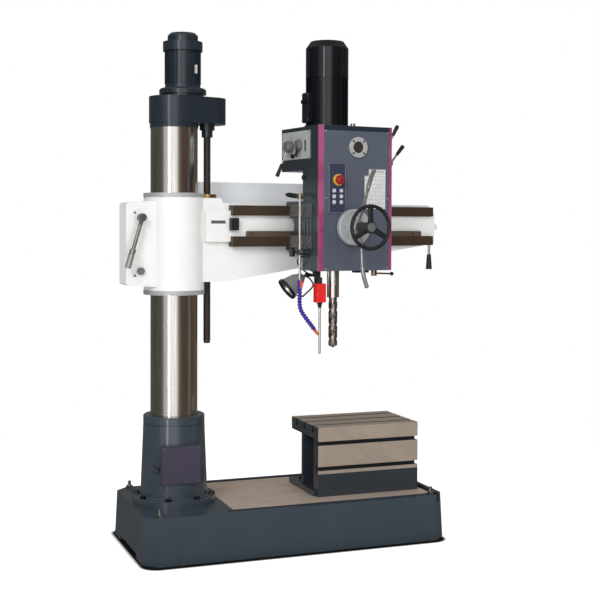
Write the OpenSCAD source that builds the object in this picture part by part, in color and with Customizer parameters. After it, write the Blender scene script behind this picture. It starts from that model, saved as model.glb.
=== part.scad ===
/* Radial arm drill. Millimetres, +Z up. The origin is the column axis at the floor, and +X runs
   along the base towards the box table. Everything that swings is drawn in the arm's own axes:
   a along the arm, b towards the back of the arm, z up. */

/* [Base] */
// Length of the base casting
base_l = 1403; // [1300:1:1700]
// Width of the base casting
base_w = 660; // [600:1:800]
// Height of the base casting
base_h = 204; // [170:1:240]
// Column axis to the left end of the base
base_left = 202; // [195:1:240]
// Chamfer of the base corners
base_corner = 60; // [40:1:75]
// How far the foot of the base stands out past its top edge
base_flare = 8; // [2:1:14]
// Wall thickness of the base casting
base_wall = 24; // [18:1:30]
// Thickness of the stiffening ribs under the base
base_rib = 20; // [14:1:26]
// Thickness of the bed above the pockets
base_roof = 70; // [55:1:90]
// Width of the coolant channel round the machined bed
channel_w = 32; // [24:1:38]
// Depth of the coolant channel
channel_d = 36; // [34:1:45]
// Width of the rim outside the coolant channel
rim_w = 22; // [18:1:30]
// Height of the pry slots in the foot of the base
pry_h = 20; // [12:1:28]
// Diameter of the levelling bolts
level_bolt_d = 16; // [12:1:20]

/* [T slots] */
// Width of a T-slot's neck
slot_neck = 18; // [14:1:20]
// Width of a T-slot's head
slot_head = 30; // [26:1:34]
// Depth of a T-slot's neck
slot_neck_h = 18; // [14:1:20]
// Height of a T-slot's head
slot_head_h = 14; // [10:1:16]
// Distance between the two T-slots of the base
bed_slot_pitch = 210; // [160:1:260]
// Distance between the T-slots in the top of the table
table_slot_pitch = 105; // [90:1:112]
// Height of the upper T-slot in the front of the table, above the table's foot
table_slot_high = 243; // [220:1:250]
// Height of the lower T-slot in the front of the table, above the table's foot
table_slot_low = 128; // [110:1:150]

/* [Pedestal and column] */
// Diameter of the pedestal's flange
pedestal_flange_d = 370; // [350:1:385]
// Thickness of the pedestal's flange
pedestal_flange_t = 29; // [24:1:36]
// Diameter of the pedestal just above its flange
pedestal_low_d = 300; // [285:1:312]
// Diameter of the pedestal at its clamp ring
pedestal_top_d = 274; // [262:1:284]
// Height of the pedestal above the base
pedestal_h = 388; // [350:1:420]
// Height of the clamp ring at the top of the pedestal
clamp_ring_h = 34; // [26:1:44]
// Outer diameter of the turning column
column_d = 210; // [200:1:222]
// Wall of the turning column
column_wall = 20; // [14:1:24]
// Height of the column's top end above the floor
column_top = 1871; // [1864:1:1960]
// Outer diameter of the fixed inner column
inner_d = 150; // [140:1:156]
// Bore of the fixed inner column
inner_bore_d = 110; // [90:1:120]

/* [Elevating head] */
// Height of the black collar on the column's top end
collar_h = 22; // [16:1:30]
// Height of the elevating gearbox
gearbox_h = 117; // [100:1:140]
// Radius of the gearbox round the column axis
gearbox_r = 112; // [110:1:120]
// Radius of the gearbox round the elevating screw
gearbox_end_r = 84; // [80:1:90]
// Wall of the gearbox
gearbox_wall = 8; // [6:1:10]
// Elevating screw's distance from the column axis
screw_a = 159; // [155:1:170]
// Diameter of the elevating screw
screw_d = 34; // [28:1:38]
// Height of the elevating screw's lower end above the floor
screw_bottom = 903; // [880:1:940]
// Elevating motor's distance from the column axis
lift_motor_a = 41; // [36:1:48]
// Diameter of the elevating motor over its fins
lift_motor_d = 163; // [150:1:172]
// Height of the elevating motor's finned body
lift_motor_h = 148; // [130:1:170]
// Diameter of the elevating motor's flange
lift_flange_d = 210; // [196:1:216]

/* [Arm] */
// Angle of the arm from the base's long axis at rest
arm_angle = 6.66; // [0:0.01:12]
// Outer diameter of the arm's barrel
barrel_d = 270; // [262:1:280]
// Height of the barrel's lower end above the floor
barrel_z = 1150; // [1120:1:1160]
// Height of the barrel
barrel_h = 412; // [404:1:424]
// Height of the rings at the barrel's ends
barrel_ring_h = 19; // [14:1:24]
// Reach of the arm from the column axis
arm_reach = 1330; // [1310:1:1400]
// Front face of the arm, ahead of its axis
arm_front = 90; // [84:1:96]
// Back face of the arm, behind its axis
arm_back = 120; // [110:1:128]
// Height of the arm's top face above the floor
arm_top_z = 1538; // [1534:1:1544]
// Height of the arm's underside at the barrel
arm_low_z = 1186; // [1170:1:1210]
// Height of the arm's underside at its far end
arm_tip_z = 1342; // [1320:1:1343]
// Start of the ways along the arm
way_a = 230; // [222:1:240]
// End of the ways along the arm
way_end_a = 1297; // [1290:1:1300]
// Front face of the ways, ahead of the arm's axis
way_front = 130; // [126:1:134]
// Top of the upper way above the floor
way_top_z = 1528; // [1526:1:1532]
// Height of each way
way_h = 44; // [40:1:48]
// Bottom of the lower way above the floor
way_low_z = 1344; // [1343:1:1346]
// Thickness of the arm's casting walls
arm_wall = 25; // [18:1:30]
// Length of the clamp lug past the barrel
lug_out = 115; // [105:1:125]
// Width of the split in the clamp lug
lug_split = 4; // [3:1:8]

/* [Cabinet] */
// Start of the electrical cabinet along the arm
cabinet_a = 184; // [180:1:200]
// Length of the electrical cabinet
cabinet_l = 556; // [500:1:600]
// Height of the electrical cabinet
cabinet_h = 400; // [360:1:430]
// Depth of the electrical cabinet
cabinet_d = 190; // [170:1:220]
// Height of the cabinet's top above the floor
cabinet_top_z = 1640; // [1620:1:1650]
// Wall of the cabinet
cabinet_wall = 3; // [2:0.5:5]

/* [Drill head] */
// Left side of the drill head along the arm
head_a = 512; // [505:1:520]
// Width of the drill head
head_w = 372; // [364:1:384]
// Bottom of the drill head above the floor
head_z = 1239; // [1230:1:1245]
// Height of the drill head
head_h = 641; // [630:1:650]
// Front face of the drill head, ahead of the arm's axis
head_front = 415; // [412:1:422]
// Back face of the lower half of the drill head, ahead of the arm's axis
head_back = 263; // [258:1:268]
// Back face of the upper half, which stands over the arm
head_over = 50; // [40:1:70]
// Underside of the upper half above the floor
head_over_z = 1685; // [1676:1:1690]
// Wall of the drill head's casting
head_wall = 12; // [9:1:14]
// Thickness of the front cover and its trims
fascia_t = 8; // [6:1:10]
// Width of the left trim
trim_left_w = 26; // [18:1:32]
// Width of the right trim
trim_right_w = 14; // [10:1:18]

/* [Spindle and feed] */
// Spindle axis along the arm
spindle_a = 625; // [622:1:628]
// Spindle axis ahead of the arm's axis
spindle_b = 342; // [340:1:344]
// Diameter of the quill
quill_d = 72; // [70:1:74]
// Length of the quill
quill_l = 411; // [400:1:414]
// Diameter of the spindle nose
nose_d = 54; // [48:1:60]
// Length of the spindle nose below the quill
nose_l = 120; // [110:1:130]
// Diameter of the drill bit
bit_d = 40; // [30:1:44]
// Length of the drill bit below the nose
bit_l = 226; // [200:1:240]
// Feed shaft axis along the arm
feed_a = 680; // [679:1:682]
// Feed shaft axis above the floor
feed_z = 1432; // [1431:1:1433]
// Diameter of the graduated feed dial
dial_d = 160; // [140:1:168]
// Diameter of the traverse handwheel over its rim
wheel_d = 201; // [190:1:212]
// Diameter of the handwheel's rim
wheel_rim_d = 18; // [14:1:20]
// Distance of the handwheel's rim in front of the head
wheel_out = 163; // [155:1:175]

/* [Main motor] */
// Motor axis along the arm
motor_a = 639; // [636:1:642]
// Motor axis ahead of the arm's axis
motor_b = 253; // [250:1:256]
// Diameter of the main motor
motor_d = 192; // [182:1:200]
// Height of the main motor's finned part
motor_fin_h = 211; // [195:1:225]
// Height of the main motor's cowl
motor_cowl_h = 167; // [150:1:175]

/* [Box table] */
// Left end of the box table
table_x = 625; // [600:1:660]
// Length of the box table
table_l = 500; // [460:1:510]
// Front face of the box table
table_front = 185; // [180:1:190]
// Back edge of the box table's top
table_back = 165; // [160:1:175]
// Height of the box table
table_h = 317; // [310:1:330]
// Thickness of the table's top and front plates
table_plate = 58; // [52:1:62]
// Thickness of the table's foot and back wall
table_wall = 25; // [20:1:32]

/* [Hidden] */

$fn = 48;
// Gap of a turning or sliding fit, and of parts that only pass each other
run_gap = 0.1;
clear_gap = 0.3;
seat_gap = 0.05;
// Small overlap that joins two shapes of one casting, or clears a face in a cut
join = 1;
cut = 2;

base_right = base_l - base_left;
bed_x0 = pedestal_flange_d / 2 + 10;
bed_x1 = base_right - channel_w - rim_w;
bed_half = base_w / 2 - channel_w - rim_w;
slot_d = slot_neck_h + slot_head_h;
pocket_max = 210;
level_inset_x = 64;
level_inset_y = 21 + base_wall / 2;
level_nut_d = 28;
level_nut_h = 13;
level_stud_h = 34;
pedestal_top_z = base_h + pedestal_h;
pedestal_fillet = 5;
pedestal_bolt_r = (pedestal_flange_d + pedestal_low_d) / 4 + pedestal_fillet / 2;
pedestal_bolts = 8;
bolt_d = 16;
bolt_head_d = 24;
bolt_head_h = 11;
bolt_grip = 40;
column_r = column_d / 2;
column_bore_r = column_r - column_wall;
pedestal_bore_r = column_r + run_gap;
pedestal_guide_h = 122;
column_bottom = base_h + 116;
inner_flange_h = 26;
inner_shoulder_r = column_r - 5;
thrust_h = 30;
inner_top = column_top - 271;
cover_w = 172;
cover_h = 162;
cover_z = base_h + 184;
cover_front = 152;
cover_x = -6;
cover_t = 4;
plug_x = cover_x - cover_w / 2 - 19;
plug_z = cover_z - 22;
plug_front = 108;
table_x1 = table_x + table_l;
table_top_z = base_h + table_h;
table_slot_y = (table_back - table_front) / 2;
table_foot_out = 13;
table_overhang = 133;

collar_z = column_top;
gearbox_z = column_top + collar_h;
gearbox_lid_t = 10;
gearbox_top_z = gearbox_z + gearbox_h;
lift_flange_z = gearbox_top_z + 13;
lift_flange_t = 25;
lift_fin_z = lift_flange_z + lift_flange_t + 20;
lift_cowl_h = 40;
lift_dome_h = 41;
lift_fins = 24;
lift_shaft_r = 11;
lift_bore_r = lift_shaft_r + run_gap;
fin_t = 4;
lift_pinion_teeth = 26;
lift_gear_teeth = 33;
lift_centres = screw_a - lift_motor_a;
lift_module = 2 * lift_centres / (lift_pinion_teeth + lift_gear_teeth);
lift_gear_z = gearbox_z + 40;
lift_gear_h = 26;
screw_r = screw_d / 2;
journal_r = screw_r - 4;
bearing_h = 32;
neck_h = 32;
bearing_z = column_top - 35;

barrel_r = barrel_d / 2;
barrel_top_z = barrel_z + barrel_h;
lug_b0 = -75;
lug_b1 = 15;
lug_b_mid = (lug_b0 + lug_b1) / 2;
lug_a = -barrel_r - lug_out;
lug_z0 = barrel_z + 33;
lug_z1 = barrel_top_z - 32;
clamp_a = lug_a + 66;
clamp_lever_z = lug_z1 - 58;
clamp_low_z = lug_z0 + 55;
stud_r = 9;
nut_r = 43;
nut_flange_h = 18;
groove_w = 14;
groove_h = 16;
way_back_b = way_front - 26;
web_front = way_front - 20;
rack_base_h = 22;
rack_teeth = 118;
traverse_teeth = 16;
traverse_r = feed_z - (way_low_z + way_h + rack_base_h) - 2;
traverse_module = 2 * traverse_r / traverse_teeth;
rack_pitch = PI * traverse_module;
rack_t = 18;
rack_a = way_a + 70;
hinge_pin_r = 2.5;
key_w = 20;
key_h = 8;

head_a1 = head_a + head_w;
head_top_z = head_z + head_h;
housing_front = head_front - fascia_t;
motor_centres = norm([motor_a - spindle_a, motor_b - spindle_b]);
motor_pinion_teeth = 16;
spindle_gear_teeth = 29;
motor_module = 2 * motor_centres / (motor_pinion_teeth + spindle_gear_teeth);
spindle_gear_z = head_over_z + 4;
spindle_gear_h = 24;
quill_r = quill_d / 2;
quill_bore_r = quill_r - 11;
feed_offset = feed_a - spindle_a;
feed_teeth = 24;
feed_r = feed_offset - quill_r + 5;
feed_module = 2 * feed_r / feed_teeth;
feed_pinion_w = 14;
shaft_r = 12;
sleeve_r = 17;
spline_r = 14;
spindle_top_z = head_top_z - head_wall - 1;
rib_a = 741;
floor_low_z = 1470;
floor_high_z = head_over_z - 25;
drive_sleeve_r = spline_r + 10;
sleeve_z = head_z + quill_l + 5;
quill_boss_h = 151;
dial_t = 31;
hub_t = 44;
wheel_b = -head_front - wheel_out;
wheel_hub_r = 21;
lever_r = 7;

panel_b0 = -334;
panel_b1 = -64;
panel_z0 = 1737;
panel_z1 = 1862;
panel_t = 4;
stem_r = 6;
knob_r = 26;
knob_left = [head_a - panel_t, -158, 1795];
knob_right = [head_a - panel_t, -240, 1798];
rotary_at = [head_a - panel_t, -182, 1752];
estop_at = [607, 1640];
button_size = 15;
button_cols = [586, 622];
button_rows = [1593, 1568, 1543];
plate_t = 3;
keypad_at = [603, 1605];
keypad_size = [88, 226];
chart_at = [797, 1602];
chart_size = [108, 176];
port_at = [708, 1786];
port_r = 46;
glass_r = 25;
speed_at = [head_a1, -290, 1736];
range_at = [head_a1, -380, 1722];
head_clamp_at = [862, -300];

pipe_out = 37;
pipe_a = head_a - pipe_out;
pipe_b = -309;
pipe_r = 6;
pipe_z0 = 1196;
pipe_z1 = 1556;
valve_z = pipe_z0 - 36;
star_z = 1320;
trip_at = [543, -370];
trip_z = 1100;
trip_h = 83;
trip_ball_r = 13;
lamp_pivot = [566, -205, 1214];
lamp_back = [548, -204, 1211];
lamp_axis = [-85, 12, -65];
lamp_eye_r = 10;
lamp_eye_w = 8;
lamp_ear_t = 5;

// Routes in the arm's axes
hose_route = [
    [pipe_a, pipe_b, valve_z], [pipe_a, pipe_b, valve_z - 16], [pipe_a, pipe_b, valve_z - 32],
    [pipe_a - 1, pipe_b - 1, valve_z - 60], [pipe_a + 1, pipe_b - 3, valve_z - 86],
    [486, -315, 1050], [504, -319, 1024], [516, -321.5, 1008], [528, -324, 992], [540, -326.5, 976],
];
hose_r = 8.5;
hose_rib_r = 11;
hose_bore_r = 5;
feed_line_route = [
    [pipe_a, pipe_b + 6, pipe_z1 + 15], [pipe_a - 5, pipe_b + 39, pipe_z1 + 20],
    [pipe_a - 13, pipe_b + 81, pipe_z1 + 24], [pipe_a - 7, pipe_b + 121, pipe_z1 + 22],
    [492, -170, 1572], [520, -178, 1568], [540, -206, 1566], [540, -236, 1566], [540, -250, 1566],
    [540, -263, 1566],
];
feed_line_r = 6;
trip_lead_route = [
    [543, -370, 1208], [543, -370, 1213], [539, -368, 1222], [530, -363, 1225], [522, -358, 1225],
    [518, -355, 1228], [518, -355, 1234], [518, -355, 1239],
];
lamp_lead_route = [
    [567, -252, 1216], [554, -252, 1219], [530, -248, 1234], [502, -248, 1256], [488, -262, 1276],
    [488, -277, 1292], [493, -285, 1298], [500, -286, 1299], [506, -286, 1299], [512, -286, 1299],
];
lead_r = 3.5;
lever_up_route = [
    [680, -468, 1450], [680, -486, 1476], [680, -508, 1506], [680, -527, 1545], [682, -545, 1590],
    [685, -566, 1640], [688, -592, 1680],
];
lever_down_route = [
    [680, -468, 1414], [680, -484, 1388], [680, -497, 1355], [680, -503, 1310], [680, -506, 1265],
    [680, -522, 1215], [680, -548, 1172],
];

function unit(v) = v / norm(v);

function spline_point(p, i, t) =
    let (a = p[max(i - 1, 0)], b = p[i], c = p[i + 1], d = p[min(i + 2, len(p) - 1)])
    0.5 * (2 * b + (c - a) * t + (2 * a - 5 * b + 4 * c - d) * t * t
        + (3 * b - a - 3 * c + d) * t * t * t);

function spline(p, n) = concat(
    [for (i = [0:len(p) - 2], k = [0:n - 1]) spline_point(p, i, k / n)], [p[len(p) - 1]]);

function ring_points(path, i, r, sides, ref) =
    let (
        t = unit(path[min(i + 1, len(path) - 1)] - path[max(i - 1, 0)]),
        u = unit(cross(ref, t)),
        v = cross(t, u)
    )
    [for (s = [0:sides - 1]) path[i] + r * (cos(360 * s / sides) * u + sin(360 * s / sides) * v)];

// A round tube or rod along a path. ref is any direction that the path never takes.
module sweep(path, radii, sides, ref, bore = 0) {
    n = len(path);
    outer = [for (i = [0:n - 1]) each ring_points(path, i, radii[i], sides, ref)];
    inner = bore > 0 ? [for (i = [0:n - 1]) each ring_points(path, i, bore, sides, ref)] : [];
    shift = n * sides;
    last = (n - 1) * sides;
    walls = [for (i = [0:n - 2], s = [0:sides - 1])
        let (p = i * sides + s, q = i * sides + (s + 1) % sides)
        each [[p, p + sides, q + sides], [p, q + sides, q]]];
    bore_walls = bore > 0 ? [for (f = walls) [f[0] + shift, f[2] + shift, f[1] + shift]] : [];
    caps = bore > 0
        ? [for (s = [0:sides - 1]) let (q = (s + 1) % sides)
            each [[s, q, q + shift], [s, q + shift, s + shift],
                [last + s, last + s + shift, last + q + shift],
                [last + s, last + q + shift, last + q]]]
        : [for (s = [1:sides - 2]) each [[0, s, s + 1], [last, last + s + 1, last + s]]];
    polyhedron(concat(outer, inner), concat(walls, bore_walls, caps), convexity = 6);
}

module tube_along(route, r, ref) {
    path = spline(route, 3);
    sweep(path, [for (p = path) r], 8, ref);
}

module in_arm() rotate([0, 0, arm_angle]) children();
module facing_front(a, b, z) translate([a, b, z]) rotate([90, 0, 0]) children();
module facing_back(a, b, z) translate([a, b, z]) rotate([-90, 0, 0]) children();
module facing_left(p) translate(p) rotate([0, -90, 0]) children();
module facing_right(p) translate(p) rotate([0, 90, 0]) children();

module box(p, q) translate(p) cube(q - p);

module rod(p, q, r) {
    d = q - p;
    translate(p) rotate([0, acos(d.z / norm(d)), atan2(d.y, d.x)]) cylinder(h = norm(d), r = r);
}

module tube(r_out, r_in, h) difference() {
    cylinder(h = h, r = r_out);
    translate([0, 0, -cut]) cylinder(h = h + 2 * cut, r = r_in);
}

// A rectangle with round corners, centred
module round_rect(w, h, r) {
    square([w - 2 * r, h], center = true);
    square([w, h - 2 * r], center = true);
    for (x = [-1, 1], y = [-1, 1]) translate([x * (w / 2 - r), y * (h / 2 - r)]) circle(r);
}

module hexagon(across) circle(d = across / cos(30), $fn = 6);

// A hexagon bolt: its head stands on z = 0 and its shank goes down
module hex_bolt(d, head, head_h, shank) {
    linear_extrude(head_h) hexagon(head);
    translate([0, 0, -shank]) cylinder(h = shank + join, d = d);
}

// Teeth with wide gaps, so meshing parts never touch. Tooth 0 is centred on the angle 0.
module gear(teeth, m, h, bore) {
    edges = [-0.25, -0.1, 0.1, 0.25];
    tip = teeth * m / 2 + 0.55 * m;
    root = teeth * m / 2 - 0.85 * m;
    difference() {
        linear_extrude(h) polygon([for (i = [0:teeth - 1], k = [0:3])
            let (a = 360 / teeth * (i + edges[k]), r = k == 1 || k == 2 ? tip : root)
            [r * cos(a), r * sin(a)]]);
        translate([0, 0, -cut]) cylinder(h = h + 2 * cut, r = bore);
    }
}

// A rack's outline along x with its pitch line on y = 0 and a tooth centred on x = 0
module rack_outline(count, m, back) {
    p = PI * m;
    edges = [-0.25, -0.1, 0.1, 0.25];
    polygon(concat(
        [[-p / 2, -back], [-p / 2, -0.85 * m]],
        [for (i = [0:count - 1], k = [0:3])
            [p * (i + edges[k]), k == 1 || k == 2 ? 0.55 * m : -0.85 * m]],
        [[p * (count - 0.5), -0.85 * m], [p * (count - 0.5), -back]]));
}

// The space of a T-slot along x, open at z = 0 and cut downwards
module slot_space(l) {
    translate([0, -slot_neck / 2, -slot_neck_h - join]) cube([l, slot_neck, slot_neck_h + join + cut]);
    translate([0, -slot_head / 2, -slot_d]) cube([l, slot_head, slot_head_h]);
}

module base_outline(grow) {
    x0 = -base_left - grow;
    x1 = base_right + grow;
    y = base_w / 2 + grow;
    c = base_corner;
    polygon([[x0 + c, -y], [x1 - c, -y], [x1, c - y], [x1, y - c],
        [x1 - c, y], [x0 + c, y], [x0, y - c], [x0, c - y]]);
}

module level_places()
    for (x = [-base_left + level_inset_x, base_right - level_inset_x], y = [-1, 1])
        translate([x, y * (base_w / 2 - level_inset_y), 0]) children();

module pockets_2d() {
    inner_l = base_l - 2 * base_wall;
    inner_w = base_w - 2 * base_wall;
    nx = ceil((inner_l + base_rib) / (pocket_max + base_rib));
    ny = ceil((inner_w + base_rib) / (pocket_max + base_rib));
    px = (inner_l + base_rib) / nx;
    py = (inner_w + base_rib) / ny;
    intersection() {
        base_outline(-base_wall);
        difference() {
            for (i = [0:nx - 1], j = [0:ny - 1])
                translate([base_wall - base_left + i * px, base_wall - base_w / 2 + j * py])
                    square([px - base_rib, py - base_rib]);
            level_places() circle(d = 64);
            circle(d = 120);
        }
    }
}

module base_plate() {
    color([0.24, 0.28, 0.32]) difference() {
        hull() {
            linear_extrude(join) base_outline(base_flare);
            translate([0, 0, base_h - join]) linear_extrude(join) base_outline(0);
        }
        translate([0, 0, -cut]) linear_extrude(base_h - base_roof + cut) pockets_2d();
        translate([0, 0, base_h - channel_d]) linear_extrude(channel_d + cut) difference() {
            translate([bed_x0 - channel_w, -bed_half - channel_w])
                square([bed_x1 - bed_x0 + 2 * channel_w, 2 * (bed_half + channel_w)]);
            translate([bed_x0 - channel_w - cut, -bed_half])
                square([bed_x1 - bed_x0 + channel_w + cut, 2 * bed_half]);
            translate([bed_x0 - 3 * channel_w, -base_w])
                square([2 * channel_w, 2 * base_w]);
        }
        for (y = [-0.5, 0.5])
            translate([bed_x0 - join, y * bed_slot_pitch, base_h])
                slot_space(bed_x1 - bed_x0 + join + cut);
        for (x = [-base_left - 3 * base_flare, base_right - base_wall])
            box([x, -base_w / 4, -cut], [x + base_wall + 3 * base_flare, base_w / 4, pry_h]);
        level_places() translate([0, 0, -cut])
            cylinder(h = base_h + 2 * cut, r = level_bolt_d / 2 + clear_gap);
        for (i = [0:pedestal_bolts - 1]) rotate(360 / pedestal_bolts * (i + 0.5))
            translate([pedestal_bolt_r, 0, base_h - bolt_grip])
                cylinder(h = bolt_grip + cut, d = bolt_d);
    }
}

module levelling_bolts() {
    color("silver") level_places() {
        cylinder(h = base_h + level_stud_h, d = level_bolt_d);
        translate([0, 0, base_h]) linear_extrude(level_nut_h) hexagon(level_nut_d);
    }
}

module pedestal() {
    flange_z = base_h + pedestal_flange_t;
    seam_z = pedestal_top_z - clamp_ring_h;
    guide_z = pedestal_top_z - pedestal_guide_h;
    loose_r = pedestal_bore_r + 10;
    flange_r = pedestal_flange_d / 2;
    low_r = pedestal_low_d / 2;
    top_r = pedestal_top_d / 2;
    color([0.24, 0.28, 0.32]) difference() {
        union() {
            rotate_extrude($fn = 96) polygon([
                [loose_r, base_h], [flange_r, base_h], [flange_r, flange_z - 3],
                [flange_r - 3, flange_z], [low_r + pedestal_fillet, flange_z],
                [low_r, flange_z + pedestal_fillet],
                [top_r, seam_z - 4], [top_r - 4, seam_z - 4], [top_r - 4, seam_z],
                [top_r, seam_z], [top_r, pedestal_top_z - 4], [top_r - 4, pedestal_top_z],
                [pedestal_bore_r, pedestal_top_z], [pedestal_bore_r, guide_z], [loose_r, guide_z - 10],
            ]);
            box([cover_x - cover_w / 2 - 5, -cover_front, cover_z - cover_h / 2 - 5],
                [cover_x + cover_w / 2 + 5, -loose_r - 6, cover_z + cover_h / 2 + 5]);
            facing_front(plug_x, -loose_r / 2, plug_z) cylinder(h = plug_front - loose_r / 2, r = 13);
        }
        for (i = [0:pedestal_bolts - 1]) rotate(360 / pedestal_bolts * (i + 0.5))
            translate([pedestal_bolt_r, 0, base_h - cut])
                cylinder(h = pedestal_flange_t + 2 * cut, d = bolt_d + 2 * clear_gap);
        rotate(180) box([pedestal_bore_r - cut, -2, seam_z], [top_r + cut, 2, pedestal_top_z + cut]);
    }
}

module hex_bolts() {
    color("silver") {
        for (i = [0:pedestal_bolts - 1]) rotate(360 / pedestal_bolts * (i + 0.5))
            translate([pedestal_bolt_r, 0, base_h + pedestal_flange_t])
                hex_bolt(bolt_d, bolt_head_d, bolt_head_h, pedestal_flange_t + bolt_grip - 2);
        for (x = [table_x + 30, table_x1 - 30], y = [-1, 1])
            translate([x, y * bed_slot_pitch / 2, base_h + table_wall]) {
                hex_bolt(bolt_d, bolt_head_d, bolt_head_h, table_wall + slot_neck_h + 11);
                translate([-14, 1 - slot_head / 2, -table_wall - slot_neck_h - 11])
                    cube([28, slot_head - 2, 10]);
            }
    }
}

module pedestal_cover() {
    color([0.28, 0.26, 0.32]) {
        facing_front(cover_x, -cover_front, cover_z) {
            linear_extrude(cover_t) round_rect(cover_w, cover_h, 3);
            for (x = [-1, 1], y = [-1, 1])
                translate([x * (cover_w / 2 - 9), y * (cover_h / 2 - 9), cover_t])
                    cylinder(h = 2.5, r = 4);
        }
        facing_front(plug_x, -plug_front, plug_z) {
            cylinder(h = 14, r = 9);
            translate([0, 0, 14]) linear_extrude(8) hexagon(13);
        }
    }
}

module inner_column() {
    inner_r = inner_d / 2;
    color([0.6, 0.6, 0.58]) {
        rotate_extrude() polygon([
            [inner_bore_d / 2, base_h], [pedestal_bore_r + 5, base_h],
            [pedestal_bore_r + 5, base_h + inner_flange_h], [inner_shoulder_r, base_h + inner_flange_h],
            [inner_shoulder_r, column_bottom - thrust_h], [inner_r, column_bottom - thrust_h],
            [inner_r, inner_top], [inner_bore_d / 2, inner_top],
        ]);
        translate([0, 0, column_bottom - thrust_h]) tube(inner_shoulder_r - 4, inner_r, thrust_h);
    }
}

module box_table() {
    foot_z = base_h + table_wall;
    inner_y0 = -table_front + table_plate;
    inner_y1 = table_back - table_overhang - table_wall;
    color([0.55, 0.52, 0.48]) difference() {
        union() {
            box([table_x, -table_front, base_h], [table_x1, inner_y1 + table_wall, table_top_z]);
            box([table_x, -table_front, table_top_z - table_plate], [table_x1, table_back, table_top_z]);
            box([table_x - table_foot_out, -table_front + table_wall, base_h],
                [table_x1 + table_foot_out, table_back, foot_z]);
        }
        box([table_x - 2 * table_foot_out, inner_y0, foot_z],
            [table_x1 + 2 * table_foot_out, inner_y1, table_top_z - table_plate]);
        for (i = [-1:1]) translate([table_x - cut, table_slot_y + i * table_slot_pitch, table_top_z])
            slot_space(table_l + 2 * cut);
        for (z = [table_slot_low, table_slot_high])
            translate([table_x - cut, -table_front, base_h + z]) rotate([90, 0, 0])
                slot_space(table_l + 2 * cut);
        for (x = [table_x + 30, table_x1 - 30], y = [-1, 1])
            translate([x, y * bed_slot_pitch / 2, base_h - cut])
                cylinder(h = table_wall + 2 * cut, d = bolt_d + 2 * clear_gap);
    }
}

module column() {
    color([0.75, 0.74, 0.72]) difference() {
        translate([0, 0, column_bottom]) cylinder(h = column_top - column_bottom, r = column_r, $fn = 96);
        translate([0, 0, column_bottom - cut])
            cylinder(h = column_top - column_bottom + 2 * cut, r = column_bore_r);
        in_arm() box([-key_w / 2, column_r - key_h, pedestal_top_z + 40],
            [key_w / 2, column_r + cut, column_top - 20]);
    }
    // Bearing bush between the two columns
    color([0.75, 0.74, 0.72]) translate([0, 0, inner_top - 90])
        tube(column_bore_r, inner_d / 2 + run_gap, 60);
}

module column_collar() {
    color([0.08, 0.09, 0.1]) translate([0, 0, collar_z]) tube(column_r + 3, column_bore_r, collar_h);
}

// The egg-shaped outline that takes in the column and the screw
module egg(r_main, r_end) {
    t = acos((r_main - r_end) / screw_a);
    circle(r_main, $fn = 96);
    translate([screw_a, 0]) circle(r_end);
    polygon([[r_main * cos(t), r_main * sin(t)], [r_main * cos(t), -r_main * sin(t)],
        [screw_a + r_end * cos(t), -r_end * sin(t)], [screw_a + r_end * cos(t), r_end * sin(t)]]);
}

module elevating_gearbox() {
    w = gearbox_wall;
    color([0.16, 0.2, 0.24]) in_arm() {
        difference() {
            translate([0, 0, gearbox_z])
                linear_extrude(gearbox_h - gearbox_lid_t) egg(gearbox_r, gearbox_end_r);
            translate([0, 0, gearbox_z + 12])
                linear_extrude(gearbox_h) egg(gearbox_r - w, gearbox_end_r - w);
            translate([screw_a, 0, gearbox_z - cut]) cylinder(h = 20, r = screw_r + clear_gap);
            translate([screw_a, 0, gearbox_z - cut])
                cylinder(h = 9, r = screw_r + 17 + clear_gap);
        }
        difference() {
            union() {
                translate([0, 0, gearbox_top_z - gearbox_lid_t])
                    linear_extrude(gearbox_lid_t) egg(gearbox_r, gearbox_end_r);
                translate([lift_motor_a, 0, gearbox_top_z - join])
                    cylinder(h = lift_flange_z - gearbox_top_z + join, r = lift_flange_d / 2 - 12);
            }
            translate([lift_motor_a, 0, gearbox_top_z - gearbox_lid_t - cut])
                cylinder(h = 40, r = 20);
        }
    }
}

// A ribbed motor frame with a round cavity for the rotor, standing on z = 0
module finned_frame(d, h, fins, cavity) {
    difference() {
        union() {
            cylinder(h = h, r = d / 2 - 8);
            for (i = [0:fins - 1]) rotate(360 / fins * i)
                translate([d / 2 - 9, -fin_t / 2, 0]) cube([9, fin_t, h]);
        }
        translate([0, 0, -cut]) cylinder(h = h + 2 * cut, r = cavity);
    }
}

module elevating_motor() {
    cowl_z = lift_fin_z + lift_motor_h;
    dome_r = 68;
    frame_r = lift_motor_d / 2;
    color([0.12, 0.15, 0.19]) in_arm() translate([lift_motor_a, 0, 0]) {
        translate([0, 0, lift_flange_z]) rotate_extrude() polygon([
            [lift_bore_r, 0], [lift_flange_d / 2, 0], [lift_flange_d / 2, lift_flange_t - 6],
            [lift_flange_d / 2 - 6, lift_flange_t], [frame_r, lift_flange_t],
            [frame_r - 4, lift_flange_t + 20], [lift_bore_r, lift_flange_t + 20],
        ]);
        difference() {
            union() {
                translate([0, 0, lift_fin_z - join])
                    finned_frame(lift_motor_d, lift_motor_h + join, lift_fins, 52);
                box([10, 58, lift_fin_z], [90, 112, lift_fin_z + 125]);
            }
            translate([0, 0, lift_fin_z - cut]) cylinder(h = lift_motor_h + 2 * cut, r = 52);
        }
        translate([0, 0, cowl_z - join]) difference() {
            union() {
                cylinder(h = lift_cowl_h + join, r = frame_r + 7);
                translate([0, 0, lift_cowl_h]) cylinder(h = lift_dome_h - 12, r = dome_r);
                translate([0, 0, lift_cowl_h + lift_dome_h - 12])
                    cylinder(h = 12, r1 = dome_r, r2 = dome_r - 12);
            }
            translate([0, 0, -cut]) cylinder(h = lift_cowl_h + lift_dome_h - 10, r = dome_r - 6);
        }
    }
}

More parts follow.
